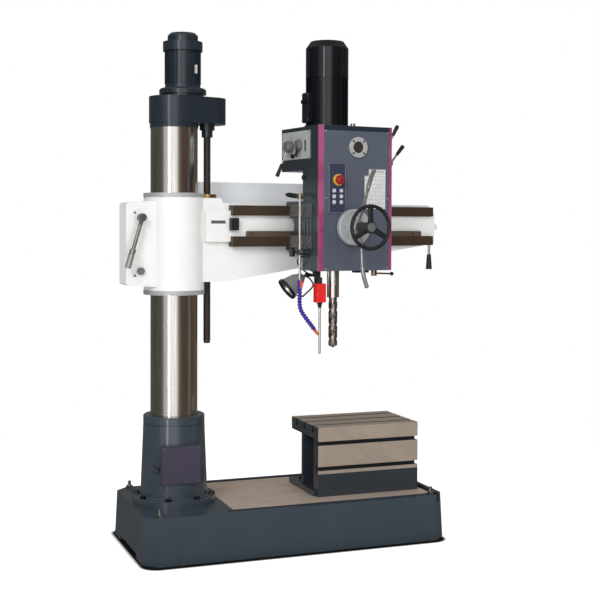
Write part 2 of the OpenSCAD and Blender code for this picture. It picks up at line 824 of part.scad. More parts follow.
module screw_bearing() {
    color([0.16, 0.2, 0.24]) in_arm() translate([screw_a, 0, 0]) {
        translate([0, 0, bearing_z + neck_h]) tube(screw_r + 17, screw_r + run_gap, bearing_h);
        translate([0, 0, bearing_z]) tube(screw_r + 8, screw_r + run_gap, neck_h);
    }
}

module elevating_screw() {
    top = lift_gear_z + lift_gear_h + 12;
    gear_seat = lift_gear_z - 8;
    color([0.5, 0.49, 0.46]) in_arm() translate([screw_a, 0, 0]) {
        translate([0, 0, screw_bottom + 12]) cylinder(h = gear_seat - screw_bottom - 12, r = screw_r);
        translate([0, 0, screw_bottom]) cylinder(h = 13, r1 = screw_r - 5, r2 = screw_r);
        translate([0, 0, gear_seat - join]) cylinder(h = top - gear_seat + join, r = journal_r);
        translate([0, 0, lift_gear_z - 8]) cylinder(h = 8 + join, r = screw_r + 9);
        translate([0, 0, lift_gear_z])
            rotate(180 / lift_gear_teeth + 180)
                gear(lift_gear_teeth, lift_module, lift_gear_h, journal_r - join);
    }
}

module elevating_rotor() {
    color([0.6, 0.6, 0.6]) in_arm() translate([lift_motor_a, 0, 0]) {
        translate([0, 0, lift_gear_z - 8])
            cylinder(h = lift_fin_z + lift_motor_h + 20 - lift_gear_z, r = lift_shaft_r);
        translate([0, 0, lift_gear_z])
            gear(lift_pinion_teeth, lift_module, lift_gear_h, lift_shaft_r - join);
        translate([0, 0, lift_fin_z + 14]) tube(46, lift_shaft_r - join, lift_motor_h - 30);
    }
}

module way_outline() {
    low = way_low_z;
    top = way_top_z;
    back = -way_back_b;
    polygon([[-way_front, top - way_h], [join - arm_front, top - way_h], [join - arm_front, top - groove_h],
        [back, top - groove_h], [back, top], [-way_front, top]]);
    polygon([[-way_front, low], [back, low], [back, low + groove_h],
        [join - arm_front, low + groove_h], [join - arm_front, low + way_h], [-way_front, low + way_h]]);
    translate([-web_front, low + way_h - join])
        square([web_front - arm_front + join, top - low - 2 * way_h + 2 * join]);
}

module arm_side() {
    polygon([[0, arm_low_z], [215, arm_low_z], [way_end_a - 32, arm_tip_z],
        [way_end_a - 6, arm_tip_z + 5], [arm_reach - 8, arm_tip_z + 5],
        [arm_reach, arm_tip_z + 13], [arm_reach, arm_top_z - 42], [way_end_a + 4, arm_top_z],
        [200, arm_top_z], [192, barrel_top_z - 2], [0, barrel_top_z - 2]]);
}

module arm_pockets() {
    span = 190;
    first = screw_a + screw_r + 30;
    count = floor((way_end_a - first) / (span + arm_wall));
    for (i = [0:count - 1])
        box([first + i * (span + arm_wall), -arm_front + arm_wall, arm_low_z - cut],
            [first + i * (span + arm_wall) + span, arm_back - arm_wall, arm_top_z - arm_wall]);
}

module arm_casting() {
    color([0.92, 0.92, 0.9]) in_arm() difference() {
        union() {
            translate([0, 0, barrel_z]) cylinder(h = barrel_h, r = barrel_r, $fn = 96);
            translate([0, arm_back, 0]) rotate([90, 0, 0])
                linear_extrude(arm_back + arm_front) arm_side();
            translate([way_a, 0, 0]) rotate([90, 0, 90]) linear_extrude(way_end_a - way_a) way_outline();
            box([109, -web_front, way_low_z + 21], [way_a + join, 0, way_top_z - 24]);
            translate([0, lug_b1, 0]) rotate([90, 0, 0]) linear_extrude(lug_b1 - lug_b0)
                polygon([[lug_a, lug_z0], [lug_a + 12, lug_z0 - 6], [0, barrel_z + 8], [0, barrel_top_z - 8],
                    [lug_a + 12, lug_z1 + 6], [lug_a, lug_z1]]);
            facing_right([arm_reach - join, -58, (arm_tip_z + arm_top_z) / 2 - 8])
                cylinder(h = 30, r1 = 28, r2 = 12);
        }
        translate([0, 0, barrel_z - cut]) cylinder(h = barrel_h + 2 * cut, r = column_r + run_gap, $fn = 96);
        translate([screw_a, 0, arm_low_z - 60]) cylinder(h = 500, r = screw_r + 5);
        arm_pockets();
        box([lug_a - cut, lug_b_mid - lug_split / 2, barrel_z - cut],
            [-column_r + 30, lug_b_mid + lug_split / 2, barrel_top_z + cut]);
        for (z = [clamp_lever_z, clamp_low_z])
            facing_back(clamp_a, lug_b0 - cut, z)
                cylinder(h = lug_b1 - lug_b0 + 2 * cut, r = stud_r + clear_gap);
        box([-key_w / 2, column_r - cut, barrel_z + 30], [key_w / 2, column_r + 8, barrel_top_z - 30]);
    }
}

module arm_end_rings() {
    color([0.45, 0.46, 0.48]) {
        translate([0, 0, barrel_top_z + seat_gap])
            tube(barrel_r + 1.5, column_r + run_gap, barrel_ring_h);
        translate([0, 0, barrel_z - barrel_ring_h - 1])
            tube(barrel_r + 1.5, column_r + run_gap, barrel_ring_h + 1 - seat_gap);
    }
}

module lift_nut() {
    seat_z = barrel_top_z - 2;
    color([0.75, 0.58, 0.28]) in_arm() translate([screw_a, 0, 0]) difference() {
        union() {
            translate([0, 0, seat_z - 60]) cylinder(h = 61, r = screw_r + 5);
            translate([0, 0, seat_z]) cylinder(h = nut_flange_h, r = nut_r);
        }
        translate([0, 0, seat_z - 60 - cut]) cylinder(h = 90, r = screw_r + run_gap);
        translate([-screw_a, 0, seat_z - cut]) cylinder(h = 40, r = barrel_r + 1.5 + clear_gap);
    }
}

module arm_key() {
    color("silver") in_arm()
        box([-key_w / 2 + clear_gap, column_r - key_h + clear_gap, barrel_z + 30],
            [key_w / 2 - clear_gap, column_r + 8, barrel_top_z - 30]);
}

module traverse_rack() {
    pitch_z = feed_z - traverse_r;
    shift = floor((feed_a - rack_a) / rack_pitch) * rack_pitch;
    color([0.5, 0.5, 0.48]) in_arm() difference() {
        translate([feed_a - shift + rack_pitch / 2, -web_front, pitch_z]) rotate([90, 0, 0])
            linear_extrude(rack_t) rack_outline(rack_teeth, traverse_module, pitch_z - way_low_z - way_h);
        for (a = [rack_a + 22, way_end_a - 116])
            facing_front(a, -web_front - rack_t + 6, way_low_z + way_h + 11) cylinder(h = 10, r = 6);
    }
}

module arm_stops() {
    color([0.05, 0.05, 0.05]) in_arm()
        box([way_a - 8, -way_front - 6, way_low_z + 72], [way_a + 28, -web_front, way_low_z + 128]);
}

module arm_handle() {
    a = arm_reach - 20;
    b = 16 - arm_front;
    top_z = arm_tip_z + 5;
    color("silver") in_arm() {
        translate([a, b, top_z - 5]) cylinder(h = 5, r = 12);
        translate([a, b, top_z - 50]) cylinder(h = 50, r = 6);
        translate([a, b, top_z - 122]) cylinder(h = 73, r1 = 15, r2 = 10);
    }
}

module electrical_cabinet() {
    w = cabinet_wall;
    z0 = cabinet_top_z - cabinet_h;
    b0 = arm_back + 30;
    b1 = b0 + cabinet_d;
    color([0.84, 0.86, 0.88]) in_arm() {
        difference() {
            box([cabinet_a, b0, z0], [cabinet_a + cabinet_l, b1, cabinet_top_z]);
            box([cabinet_a + w, b0 + w, z0 + w], [cabinet_a + cabinet_l - w, b1 + cut, cabinet_top_z - w]);
            translate([cabinet_a + 60, b0 + 60, z0 - cut]) cylinder(h = 20, r = 12);
        }
        for (a = [cabinet_a + 60, cabinet_a + cabinet_l - 90])
            box([a, arm_back, arm_top_z - 188], [a + 30, b0, arm_top_z - 30]);
        translate([cabinet_a + 60, b0 + 60, z0 - 26]) tube(12, 7, 40);
        box([cabinet_a + 60, b0 + w, z0 + 50], [cabinet_a + cabinet_l - 60, b0 + w + 3, cabinet_top_z - 50]);
        for (i = [0:4])
            box([cabinet_a + 100 + 76 * i, b0 + w + 3, z0 + 190],
                [cabinet_a + 150 + 76 * i, b0 + w + 74, z0 + 270]);
        // Hinge leaves with their knuckles
        for (z = [z0 + 60, cabinet_top_z - 100]) {
            translate([cabinet_a - 6, b1 + 6, z]) cylinder(h = 18, r = 6);
            translate([cabinet_a - 6, b1 + 6, z]) cylinder(h = 34, r = hinge_pin_r);
            box([cabinet_a - 8, b1 - 14, z], [cabinet_a - 4, b1 + 6, z + 18]);
            box([cabinet_a - 8, b1 - 14, z], [cabinet_a + join, b1 - 2, z + 18]);
        }
    }
}

module cabinet_door() {
    z0 = cabinet_top_z - cabinet_h;
    b1 = arm_back + 30 + cabinet_d;
    hinge_a = cabinet_a - 6;
    color([0.84, 0.86, 0.88]) in_arm() {
        difference() {
            union() {
                box([cabinet_a + 1, b1 + clear_gap, z0 + 1],
                    [cabinet_a + cabinet_l, b1 + 12, cabinet_top_z - 1]);
                for (z = [z0 + 78 + clear_gap, cabinet_top_z - 82 + clear_gap]) {
                    translate([hinge_a, b1 + 6, z]) cylinder(h = 18, r = 6);
                    box([hinge_a, b1 + 4, z], [cabinet_a + 4, b1 + 12, z + 18]);
                }
            }
            for (z = [z0 + 60, cabinet_top_z - 100])
                translate([hinge_a, b1 + 6, z - 2]) {
                    cylinder(h = 20, r = 6 + clear_gap + 1);
                    cylinder(h = 40, r = hinge_pin_r + run_gap);
                }
        }
        facing_back(cabinet_a + cabinet_l - 34, b1 + 12, z0 + cabinet_h / 2) {
            cylinder(h = 5, r = 12);
            translate([-3, -16, 4]) cube([6, 32, 12]);
        }
    }
}

module clamp_bolts() {
    color([0.4, 0.41, 0.43]) in_arm() {
        facing_front(clamp_a, lug_b0, clamp_low_z)
            hex_bolt(2 * stud_r, 30, 12, lug_b1 - lug_b0 + 18);
        for (z = [clamp_lever_z, clamp_low_z]) facing_back(clamp_a, lug_b1, z) difference() {
            linear_extrude(14) hexagon(30);
            translate([0, 0, -cut]) cylinder(h = 30, r = z == clamp_low_z ? stud_r : stud_r + run_gap);
        }
        for (z = [clamp_lever_z + 21, clamp_low_z - 19])
            facing_front(clamp_a - 27, lug_b0, z) cylinder(h = 4, r = 5);
    }
}

module arm_clamp_lever() {
    hub = [clamp_a, lug_b0 - 24, clamp_lever_z];
    tip = [clamp_a - 74, lug_b0 - 46, clamp_lever_z - 218];
    d = unit(tip - hub);
    color([0.45, 0.46, 0.48]) in_arm() {
        facing_front(clamp_a, lug_b0 - clear_gap, clamp_lever_z) {
            cylinder(h = 34, r = 17);
            translate([0, 0, lug_b0 - lug_b1 - 18]) cylinder(h = lug_b1 - lug_b0 + 20, r = stud_r);
        }
        rod(hub, hub + 150 * d, 9);
        rod(hub + 148 * d, tip, 14);
    }
}

module head_housing() {
    w = head_wall;
    f = -housing_front;
    back = -head_back;
    over = -head_over;
    jaw = clear_gap;
    up = way_top_z;
    low = way_low_z;
    hook0 = -way_back_b + jaw;
    hook1 = -arm_front - jaw;
    block_z0 = low + way_h + 14;
    block_z1 = up - way_h - 14;
    color([0.18, 0.2, 0.22]) in_arm() difference() {
        union() {
            difference() {
                union() {
                    box([head_a, f, head_z], [head_a1, back, head_top_z]);
                    box([head_a, back - join, head_over_z], [head_a1, over, head_top_z]);
                }
                for (z = [[head_z + w, floor_low_z], [floor_low_z + w, floor_high_z],
                        [floor_high_z + w, head_top_z - w]], a = [[head_a + w, rib_a - w / 2],
                        [rib_a + w / 2, head_a1 - w]])
                    box([a[0], f - cut, z[0]], [a[1], back - w, z[1]]);
                for (a = [[head_a + w, rib_a - w / 2], [rib_a + w / 2, head_a1 - w]])
                    box([a[0], back, head_over_z + w], [a[1], over - w, head_top_z - w]);
            }
            translate([spindle_a, -spindle_b, head_z]) cylinder(h = quill_boss_h, r = quill_r + 14);
            // Saddle that holds the ways from the front, above and below
            translate([head_a + 4, 0, 0]) rotate([90, 0, 90]) linear_extrude(head_w - 8) {
                polygon([[back - join, block_z1], [-way_front - jaw, block_z1], [-way_front - jaw, up + jaw],
                    [hook0, up + jaw], [hook0, up - groove_h + 1], [hook1, up - groove_h + 1],
                    [hook1, up + 20], [back - join, up + 20]]);
                polygon([[back - join, block_z0], [-way_front - jaw, block_z0],
                    [-way_front - jaw, low - jaw],
                    [hook0, low - jaw], [hook0, low + groove_h - 1], [hook1, low + groove_h - 1],
                    [hook1, low - 20], [back - join, low - 20]]);
            }
            for (i = [0:3]) box([head_a + 4 + 118.7 * i, back - join, block_z0 - join],
                [head_a + 12 + 118.7 * i, -way_front - 40, block_z1 + join]);
            facing_back(feed_a, back - join, feed_z) cylinder(h = head_back - way_front - 20, r = 24);
            facing_left([head_a + join, pipe_b, star_z]) cylinder(h = 8, r = 24);
            // Guard strip behind the quill
            box([652, -304, head_z - 107], [677, -296, head_z + join]);
        }
        translate([spindle_a, -spindle_b, head_z - cut])
            cylinder(h = floor_low_z + w - head_z + 2 * cut, r = quill_r + run_gap);
        translate([spindle_a, -spindle_b, floor_high_z - cut])
            cylinder(h = w + 2 * cut, r = drive_sleeve_r + run_gap);
        translate([motor_a, -motor_b, floor_high_z + w]) cylinder(h = 400, r = 46);
        facing_front(feed_a, -way_front, feed_z) cylinder(h = 400, r = shaft_r + run_gap);
        facing_front(feed_a, -head_back - w - join, feed_z) cylinder(h = 400, r = sleeve_r + clear_gap);
        facing_front(feed_a, -spindle_b + feed_pinion_w, feed_z)
            cylinder(h = 2 * feed_pinion_w, r = feed_r + 6);
        for (p = [knob_left, knob_right, rotary_at])
            facing_left([head_a + w + cut, p.y, p.z]) cylinder(h = w + 2 * cut, r = stem_r + clear_gap);
        for (p = [speed_at, range_at])
            facing_right([head_a1 - w - cut, p.y, p.z]) cylinder(h = w + 2 * cut, r = stem_r + clear_gap);
        translate([head_clamp_at.x, head_clamp_at.y, head_z - cut])
            cylinder(h = w + 2 * cut, r = stem_r + clear_gap);
    }
}

module head_fascia() {
    a0 = head_a + trim_left_w;
    a1 = head_a1 - trim_right_w;
    color([0.31, 0.33, 0.38]) in_arm() difference() {
        box([a0, -head_front, head_z], [a1, -housing_front, head_top_z]);
        facing_front(port_at.x, -housing_front + cut, port_at.y) cylinder(h = 20, r = glass_r + 6);
        facing_front(feed_a, -housing_front + cut, feed_z) cylinder(h = 20, r = sleeve_r + run_gap);
        facing_front(estop_at.x, -housing_front + cut, estop_at.y) cylinder(h = 20, r = 9);
        button_holes();
    }
}

module button_holes()
    for (a = button_cols, z = button_rows)
        box([a - button_size / 2, -head_front - 10, z - button_size / 2],
            [a + button_size / 2, -housing_front + cut, z + button_size / 2]);

module head_trims() {
    color([0.7, 0.3, 0.48]) in_arm() {
        box([head_a, -head_front - 1, head_z], [head_a + trim_left_w, -housing_front, head_top_z]);
        box([head_a1 - trim_right_w, -head_front - 1, head_z], [head_a1, -housing_front, head_top_z]);
    }
}

module porthole() {
    color([0.7, 0.7, 0.7]) in_arm() {
        facing_front(port_at.x, -head_front, port_at.y) {
            tube(port_r, glass_r, 9);
            translate([0, 0, 1]) cylinder(h = 4, r = glass_r);
            for (i = [0:3]) rotate(45 + 90 * i) translate([port_r - 9, 0, 9]) cylinder(h = 2.5, r = 4.5);
        }
    }
}

// The keypad and chart plates, the stop's base ring and the screws of the front cover
module fascia_plates() {
    color([0.75, 0.76, 0.78]) in_arm() {
        difference() {
            facing_front(keypad_at.x, -head_front, keypad_at.y)
                linear_extrude(plate_t) round_rect(keypad_size.x, keypad_size.y, 4);
            facing_front(estop_at.x, -head_front + cut, estop_at.y) cylinder(h = 20, r = 9);
            button_holes();
        }
        facing_front(chart_at.x, -head_front, chart_at.y)
            linear_extrude(1.5) square(chart_size, center = true);
        facing_front(estop_at.x, -head_front - plate_t, estop_at.y) tube(25, 9, 7);
        for (a = [head_a + trim_left_w + 9, head_a1 - trim_right_w - 9],
                z = [head_z + 10, head_z + 322, head_top_z - 26])
            facing_front(a, -head_front, z) cylinder(h = 2.5, r = 4.5);
        translate([702, -380, head_top_z]) cylinder(h = 13, r = 11);
        facing_left([head_a, -277, 1653]) cylinder(h = 9, r = 10);
        box([757, -320, head_z - 14], [823, -280, head_z]);
    }
}

module side_panel() {
    color([0.72, 0.74, 0.76]) in_arm() difference() {
        box([head_a - panel_t, panel_b0, panel_z0], [head_a, panel_b1, panel_z1]);
        for (p = [knob_left, knob_right, rotary_at])
            facing_left([head_a + cut, p.y, p.z]) cylinder(h = 20, r = stem_r + clear_gap);
        box([head_a - panel_t - cut, -300, 1769], [head_a - panel_t + 1.5, -282, 1820]);
    }
}

module main_motor() {
    r = motor_d / 2;
    fin_z = head_top_z + 10;
    cowl_z = fin_z + motor_fin_h;
    color([0.05, 0.05, 0.06]) in_arm() translate([motor_a, -motor_b, 0]) {
        translate([0, 0, head_top_z]) tube(r + 5, shaft_r + run_gap, 10);
        difference() {
            union() {
                translate([0, 0, fin_z - join]) finned_frame(motor_d, motor_fin_h + join, 28, 60);
                box([-r - 12, -34, fin_z + 10], [-68, 34, fin_z + 144]);
                facing_left([-r - 11, 0, fin_z + 102]) cylinder(h = 22, r = 9);
            }
            translate([0, 0, fin_z - cut]) cylinder(h = motor_fin_h + 2 * cut, r = 60);
        }
        translate([0, 0, cowl_z - join]) rotate_extrude() polygon([
            [0, motor_cowl_h], [0, motor_cowl_h - 4], [r - 25, motor_cowl_h - 4],
            [r - 4, motor_cowl_h - 33], [r - 4, 6], [r - 12, 6], [r - 12, 0], [r + 0.5, 0],
            [r + 0.5, motor_cowl_h - 31], [r - 21, motor_cowl_h],
        ]);
    }
}

module star_2d() {
    circle(16);
    for (i = [0:4]) rotate(72 * i) translate([16, 0]) circle(6);
}

module coolant_pipe() {
    color([0.7, 0.7, 0.68]) in_arm() {
        translate([pipe_a, pipe_b, pipe_z0]) cylinder(h = pipe_z1 - pipe_z0, r = pipe_r);
        translate([pipe_a, pipe_b, pipe_z1 - join]) cylinder(h = 26, r = 10);
        translate([pipe_a, pipe_b, valve_z]) cylinder(h = 37, r = 11);
        facing_front(pipe_a, pipe_b, valve_z + 18) cylinder(h = 24, r = 5);
        facing_front(pipe_a, pipe_b - 18, valve_z + 18) translate([-4, -12, 0]) cube([8, 24, 6]);
        // The clamp that carries the pipe, with its star knob
        difference() {
            union() {
                facing_left([head_a - 7, pipe_b, star_z]) cylinder(h = head_a - pipe_a + 7, r = 14);
                facing_left([pipe_a - 13, pipe_b, star_z]) cylinder(h = 20, r = 5);
                facing_left([pipe_a - 32, pipe_b, star_z]) linear_extrude(14) star_2d();
            }
            translate([pipe_a, pipe_b, star_z - 40]) cylinder(h = 80, r = pipe_r);
        }
        tube_along(feed_line_route, feed_line_r, [0, 0, 1]);
    }
}

module coolant_hose() {
    path = spline(hose_route, 9);
    color([0.24, 0.2, 0.6]) in_arm() {
        sweep(path, [for (i = [0:len(path) - 1]) i < 2 ? hose_r : i % 3 == 0 ? hose_r : hose_rib_r],
            8, [0, 1, 0], hose_bore_r);
        tip = path[len(path) - 1];
        d = unit(tip - path[len(path) - 2]);
        difference() {
            rod(tip, tip + 30 * d, 8);
            rod(tip - d, tip + 32 * d, 3.5);
        }
    }
}

module trip_switch() {
    color([0.8, 0.14, 0.15]) in_arm() {
        difference() {
            union() {
                translate([trip_at.x, trip_at.y, trip_z]) linear_extrude(trip_h) round_rect(46, 40, 5);
                translate([trip_at.x, trip_at.y, trip_z + trip_h - join]) cylinder(h = 28, r = 11);
            }
            translate([trip_at.x, trip_at.y, trip_z]) sphere(r = trip_ball_r + clear_gap);
        }
        box([trip_at.x - 15, trip_at.y + 20, trip_z + 30], [trip_at.x + 15, trip_at.y + 26, head_z]);
        tube_along(trip_lead_route, lead_r, [0, 1, 0]);
    }
}

module lamp_bracket() {
    a = lamp_pivot.x;
    b = lamp_pivot.y;
    z = lamp_pivot.z;
    ear0 = b - lamp_eye_w / 2 - clear_gap;
    ear1 = b + lamp_eye_w / 2 + clear_gap;
    foot = [a - 6, -head_back - 17, head_z];
    color([0.06, 0.06, 0.07]) in_arm() {
        translate([foot.x, foot.y, head_z - 6]) cylinder(h = 6, r = 16);
        rod(foot - [0, 0, 5], [foot.x, foot.y, z], 6);
        translate([foot.x, foot.y, z]) sphere(r = 6);
        rod([foot.x, foot.y, z], [a + 13, ear0 - 4, z], 6);
        facing_front(a, ear0, z) cylinder(h = lamp_ear_t, r = lamp_eye_r);
        facing_back(a, ear1, z) cylinder(h = lamp_ear_t, r = lamp_eye_r);
        facing_front(a, ear1 + join, z) cylinder(h = ear1 - ear0 + 2 * join, r = 3);
        for (e = [[ear0 - lamp_ear_t, ear0], [ear1, ear1 + lamp_ear_t]])
            box([a, e[0], z - 8], [a + 16, e[1], z + 8]);
        box([a + lamp_eye_r + 2, ear0 - lamp_ear_t, z - 8], [a + 16, ear1 + lamp_ear_t, z + 8]);
        tube_along(lamp_lead_route, lead_r, [0, 0.8, 0.6]);
    }
}

module work_lamp() {
    d = unit(lamp_axis);
    color([0.6, 0.6, 0.6]) in_arm() {
        translate(lamp_back) rotate([0, acos(d.z), atan2(d.y, d.x)]) rotate_extrude() polygon([
            [0, 0], [11, 0], [20, 12], [26, 20], [50, 92], [53, 92], [53, 106], [49, 106], [49, 95],
            [23, 23], [0, 16],
        ]);
        difference() {
            union() {
                facing_front(lamp_pivot.x, lamp_pivot.y + lamp_eye_w / 2, lamp_pivot.z)
                    cylinder(h = lamp_eye_w, r = lamp_eye_r - 1);
                rod(lamp_pivot, lamp_back + 6 * d, lamp_eye_w / 2 - 1);
            }
            facing_front(lamp_pivot.x, lamp_pivot.y + 20, lamp_pivot.z)
                cylinder(h = 40, r = 3 + run_gap);
        }
    }
}

module quill() {
    rack_teeth_n = 36;
    slot_r = quill_r - 8;
    color([0.7, 0.7, 0.7]) in_arm() translate([spindle_a, -spindle_b, 0]) {
        difference() {
            translate([0, 0, head_z]) cylinder(h = quill_l, r = quill_r);
            translate([0, 0, head_z - cut]) cylinder(h = quill_l + 2 * cut, r = quill_bore_r);
            box([slot_r, -9, feed_z - 42], [quill_r + cut, 9, head_z + quill_l + cut]);
        }
        intersection() {
            translate([quill_r - 5, 8, feed_z]) rotate([90, 0, 0]) linear_extrude(16)
                rotate(-90) mirror([1, 0]) translate([-(PI * feed_module) * 5.5, 0])
                    rack_outline(rack_teeth_n, feed_module, 4);
            translate([0, 0, head_z]) cylinder(h = quill_l, r = quill_r - 0.5);
        }
        for (z = [head_z + 4, head_z + quill_l - 34])
            translate([0, 0, z]) tube(quill_bore_r, 17 + run_gap, 28);
    }
}

module spindle() {
    color([0.75, 0.75, 0.75]) in_arm() translate([spindle_a, -spindle_b, 0]) difference() {
        union() {
            translate([0, 0, head_z - nose_l]) cylinder(h = nose_l - clear_gap, d = nose_d);
            translate([0, 0, head_z - 2]) cylinder(h = quill_l + 6, r = 17);
            translate([0, 0, head_z + quill_l]) cylinder(h = spindle_top_z - head_z - quill_l, r = spline_r);
        }
        // Morse socket and drift slot
        translate([0, 0, head_z - nose_l - cut]) cylinder(h = 100 + cut, r1 = 13.1, r2 = 10.6);
        box([-5, -nose_d, head_z - 66], [5, nose_d, head_z - 28]);
    }
}

module flute_outline() {
    r = bit_d / 2;
    difference() {
        circle(r, $fn = 16);
        for (s = [-1, 1]) translate([s * r * 0.62, s * r * 0.62]) circle(r * 0.55, $fn = 10);
    }
}

module drill_bit() {
    r = bit_d / 2;
    top = head_z - nose_l;
    shank = 22;
    tip_h = r / tan(59);
    color([0.6, 0.58, 0.55]) in_arm() translate([spindle_a, -spindle_b, 0]) {
        intersection() {
            translate([0, 0, top - bit_l])
                linear_extrude(bit_l - shank, twist = -560, slices = 30, convexity = 6) flute_outline();
            translate([0, 0, top - bit_l]) union() {
                cylinder(h = tip_h, r1 = 0.5, r2 = r + 0.4, $fn = 32);
                translate([0, 0, tip_h - 0.2]) cylinder(h = bit_l, r = r + 0.4, $fn = 32);
            }
        }
        translate([0, 0, top - shank - join]) cylinder(h = shank, r = r - 2);
        translate([0, 0, top - 2]) cylinder(h = 92, r1 = 13, r2 = 10.6);
    }
}

module feed_levers() {
    up = spline(lever_up_route, 4);
    down = spline(lever_down_route, 4);
    color([0.6, 0.6, 0.6]) in_arm() {
        difference() {
            union() {
                facing_front(feed_a, -spindle_b + feed_pinion_w / 2, feed_z)
                    cylinder(h = head_front + 25 - spindle_b, r = sleeve_r);
                facing_front(feed_a, -head_front - dial_t - 1, feed_z) cylinder(h = hub_t, r = 30);
                facing_front(feed_a, -spindle_b + feed_pinion_w / 2, feed_z)
                    rotate(180) gear(feed_teeth, feed_module, feed_pinion_w, shaft_r - join);
            }
            facing_front(feed_a, -spindle_b + 40, feed_z) cylinder(h = 200, r = shaft_r + run_gap);
        }
        sweep(up, [for (i = [0:len(up) - 1]) i > len(up) - 6 ? lever_r + 2.5 : lever_r], 10, [1, 0, 0]);
        sweep(down, [for (i = [0:len(down) - 1]) i > len(down) - 6 ? lever_r + 2.5 : lever_r], 10,
            [1, 0, 0]);
    }
}

module feed_dial() {
    color([0.75, 0.76, 0.78]) in_arm() difference() {
        facing_front(feed_a, -head_front - 0.6, feed_z) rotate_extrude() polygon([
            [sleeve_r, 0], [dial_d / 2 - 20, 0], [dial_d / 2 - 20, plate_t + 1], [dial_d / 2, plate_t + 1],
            [dial_d / 2, dial_t - 6], [dial_d / 2 - 5, dial_t], [sleeve_r, dial_t],
        ]);
    }
}

module handwheel() {
    rim_r = wheel_d / 2 - wheel_rim_d / 2;
    hub_b = -head_front - dial_t - hub_t - 3;
    color([0.05, 0.05, 0.05]) in_arm() {
        facing_front(feed_a, wheel_b, feed_z) rotate_extrude($fn = 96)
            translate([rim_r, 0]) circle(d = wheel_rim_d, $fn = 24);
        difference() {
            union() {
                facing_front(feed_a, hub_b, feed_z) cylinder(h = hub_b - wheel_b + 12, r = wheel_hub_r);
                for (i = [0:2]) facing_front(feed_a, wheel_b + 5, feed_z) rotate(90 + 120 * i)
                    translate([wheel_hub_r - 4, -9, 0]) cube([rim_r - wheel_hub_r + 4, 18, 9]);
            }
            facing_front(feed_a, hub_b + cut, feed_z) cylinder(h = hub_b - wheel_b + 10, r = shaft_r);
        }
    }
}

module traverse_shaft() {
    color([0.65, 0.65, 0.65]) in_arm() {
        facing_front(feed_a, -web_front - 3, feed_z)
            cylinder(h = -wheel_b + 6 - web_front - 3, r = shaft_r);
        facing_front(feed_a, -web_front - 3, feed_z) rotate(-90)
            gear(traverse_teeth, traverse_module, 16, shaft_r - join);
    }
}

module spindle_gear() {
    turn = atan2(spindle_b - motor_b, motor_a - spindle_a);
    color([0.6, 0.6, 0.58]) in_arm() translate([spindle_a, -spindle_b, 0]) difference() {
        union() {
            translate([0, 0, spindle_gear_z]) rotate(turn)
                gear(spindle_gear_teeth, motor_module, spindle_gear_h, spline_r - join);
            translate([0, 0, sleeve_z]) cylinder(h = spindle_gear_z - sleeve_z + join, r = drive_sleeve_r);
        }
        translate([0, 0, sleeve_z - cut])
            cylinder(h = spindle_gear_z + spindle_gear_h - sleeve_z + 2 * cut, r = spline_r + clear_gap);
    }
}

module main_rotor() {
    color([0.6, 0.6, 0.6]) in_arm() translate([motor_a, -motor_b, 0]) {
        translate([0, 0, spindle_gear_z - 4])
            cylinder(h = head_top_z + motor_fin_h + 30 - spindle_gear_z, r = shaft_r);
        translate([0, 0, spindle_gear_z])
            rotate(atan2(motor_b - spindle_b, spindle_a - motor_a) + 180 / motor_pinion_teeth)
                gear(motor_pinion_teeth, motor_module, spindle_gear_h, shaft_r - join);
        translate([0, 0, head_top_z + 24]) tube(54, shaft_r - join, motor_fin_h - 40);
    }
}

module selector(p, h) facing_left(p) {
    translate([0, 0, clear_gap]) cylinder(h = h, r = knob_r);
    translate([0, 0, -20]) cylinder(h = 20 + join, r = stem_r);
}

module selector_left() {
    start = knob_left + [-22, 0, -10];
    mid = [knob_left.x - 44, -146, knob_left.z - 80];
    tip = [knob_left.x - 66, -143, knob_left.z - 135];
    color([0.5, 0.52, 0.54]) in_arm() {
        selector(knob_left, 33);
        rod(start, mid, 4);
        rod(mid, tip, 9);
    }
}

module selector_right() {
    color([0.5, 0.52, 0.54]) in_arm() {
        selector(knob_right, 18);
        rod(knob_right + [-12, -6, -10], knob_right + [-26, -12, -52], 8);
    }
}

module rotary_switch() {
    color([0.05, 0.05, 0.05]) in_arm() facing_left(rotary_at) {
        translate([0, 0, clear_gap]) cylinder(h = 8, r = 10);
        translate([-10, -3, 6]) cube([20, 6, 10]);
        translate([0, 0, -12]) cylinder(h = 13, r = stem_r);
    }
}

module emergency_stop() {
    color([0.8, 0.12, 0.12]) in_arm() facing_front(estop_at.x, -head_front, estop_at.y) {
        translate([0, 0, plate_t + 7 + 6]) rotate_extrude() polygon([
            [0, 0], [18, 0], [21, 3], [21, 8], [16, 14], [8, 17], [0, 18]]);
        translate([0, 0, -2]) cylinder(h = plate_t + 16, r = 9 - clear_gap);
    }
}

module push_button(i) {
    a = button_cols[i % 2];
    z = button_rows[floor(i / 2)];
    half = button_size / 2 - clear_gap;
    color([0.9, 0.9, 0.9]) in_arm()
        box([a - half, -head_front - plate_t - 5, z - half], [a + half, -head_front + 4, z + half]);
}

module side_lever(p, d, l) {
    hub_end = p + [16, 0, 0];
    facing_right(p + [clear_gap, 0, 0]) cylinder(h = 22, r = 13);
    facing_right(p - [10, 0, 0]) cylinder(h = 12, r = stem_r);
    rod(hub_end, hub_end + (l - 55) * d, 5);
    rod(hub_end + (l - 56) * d, hub_end + l * d, 10);
}

module speed_lever() {
    color([0.05, 0.05, 0.05]) in_arm() side_lever(speed_at, unit([48, 0, 87]), 190);
}

module range_lever() {
    color([0.05, 0.05, 0.05]) in_arm() side_lever(range_at, unit([61, 0, 75]), 105);
}

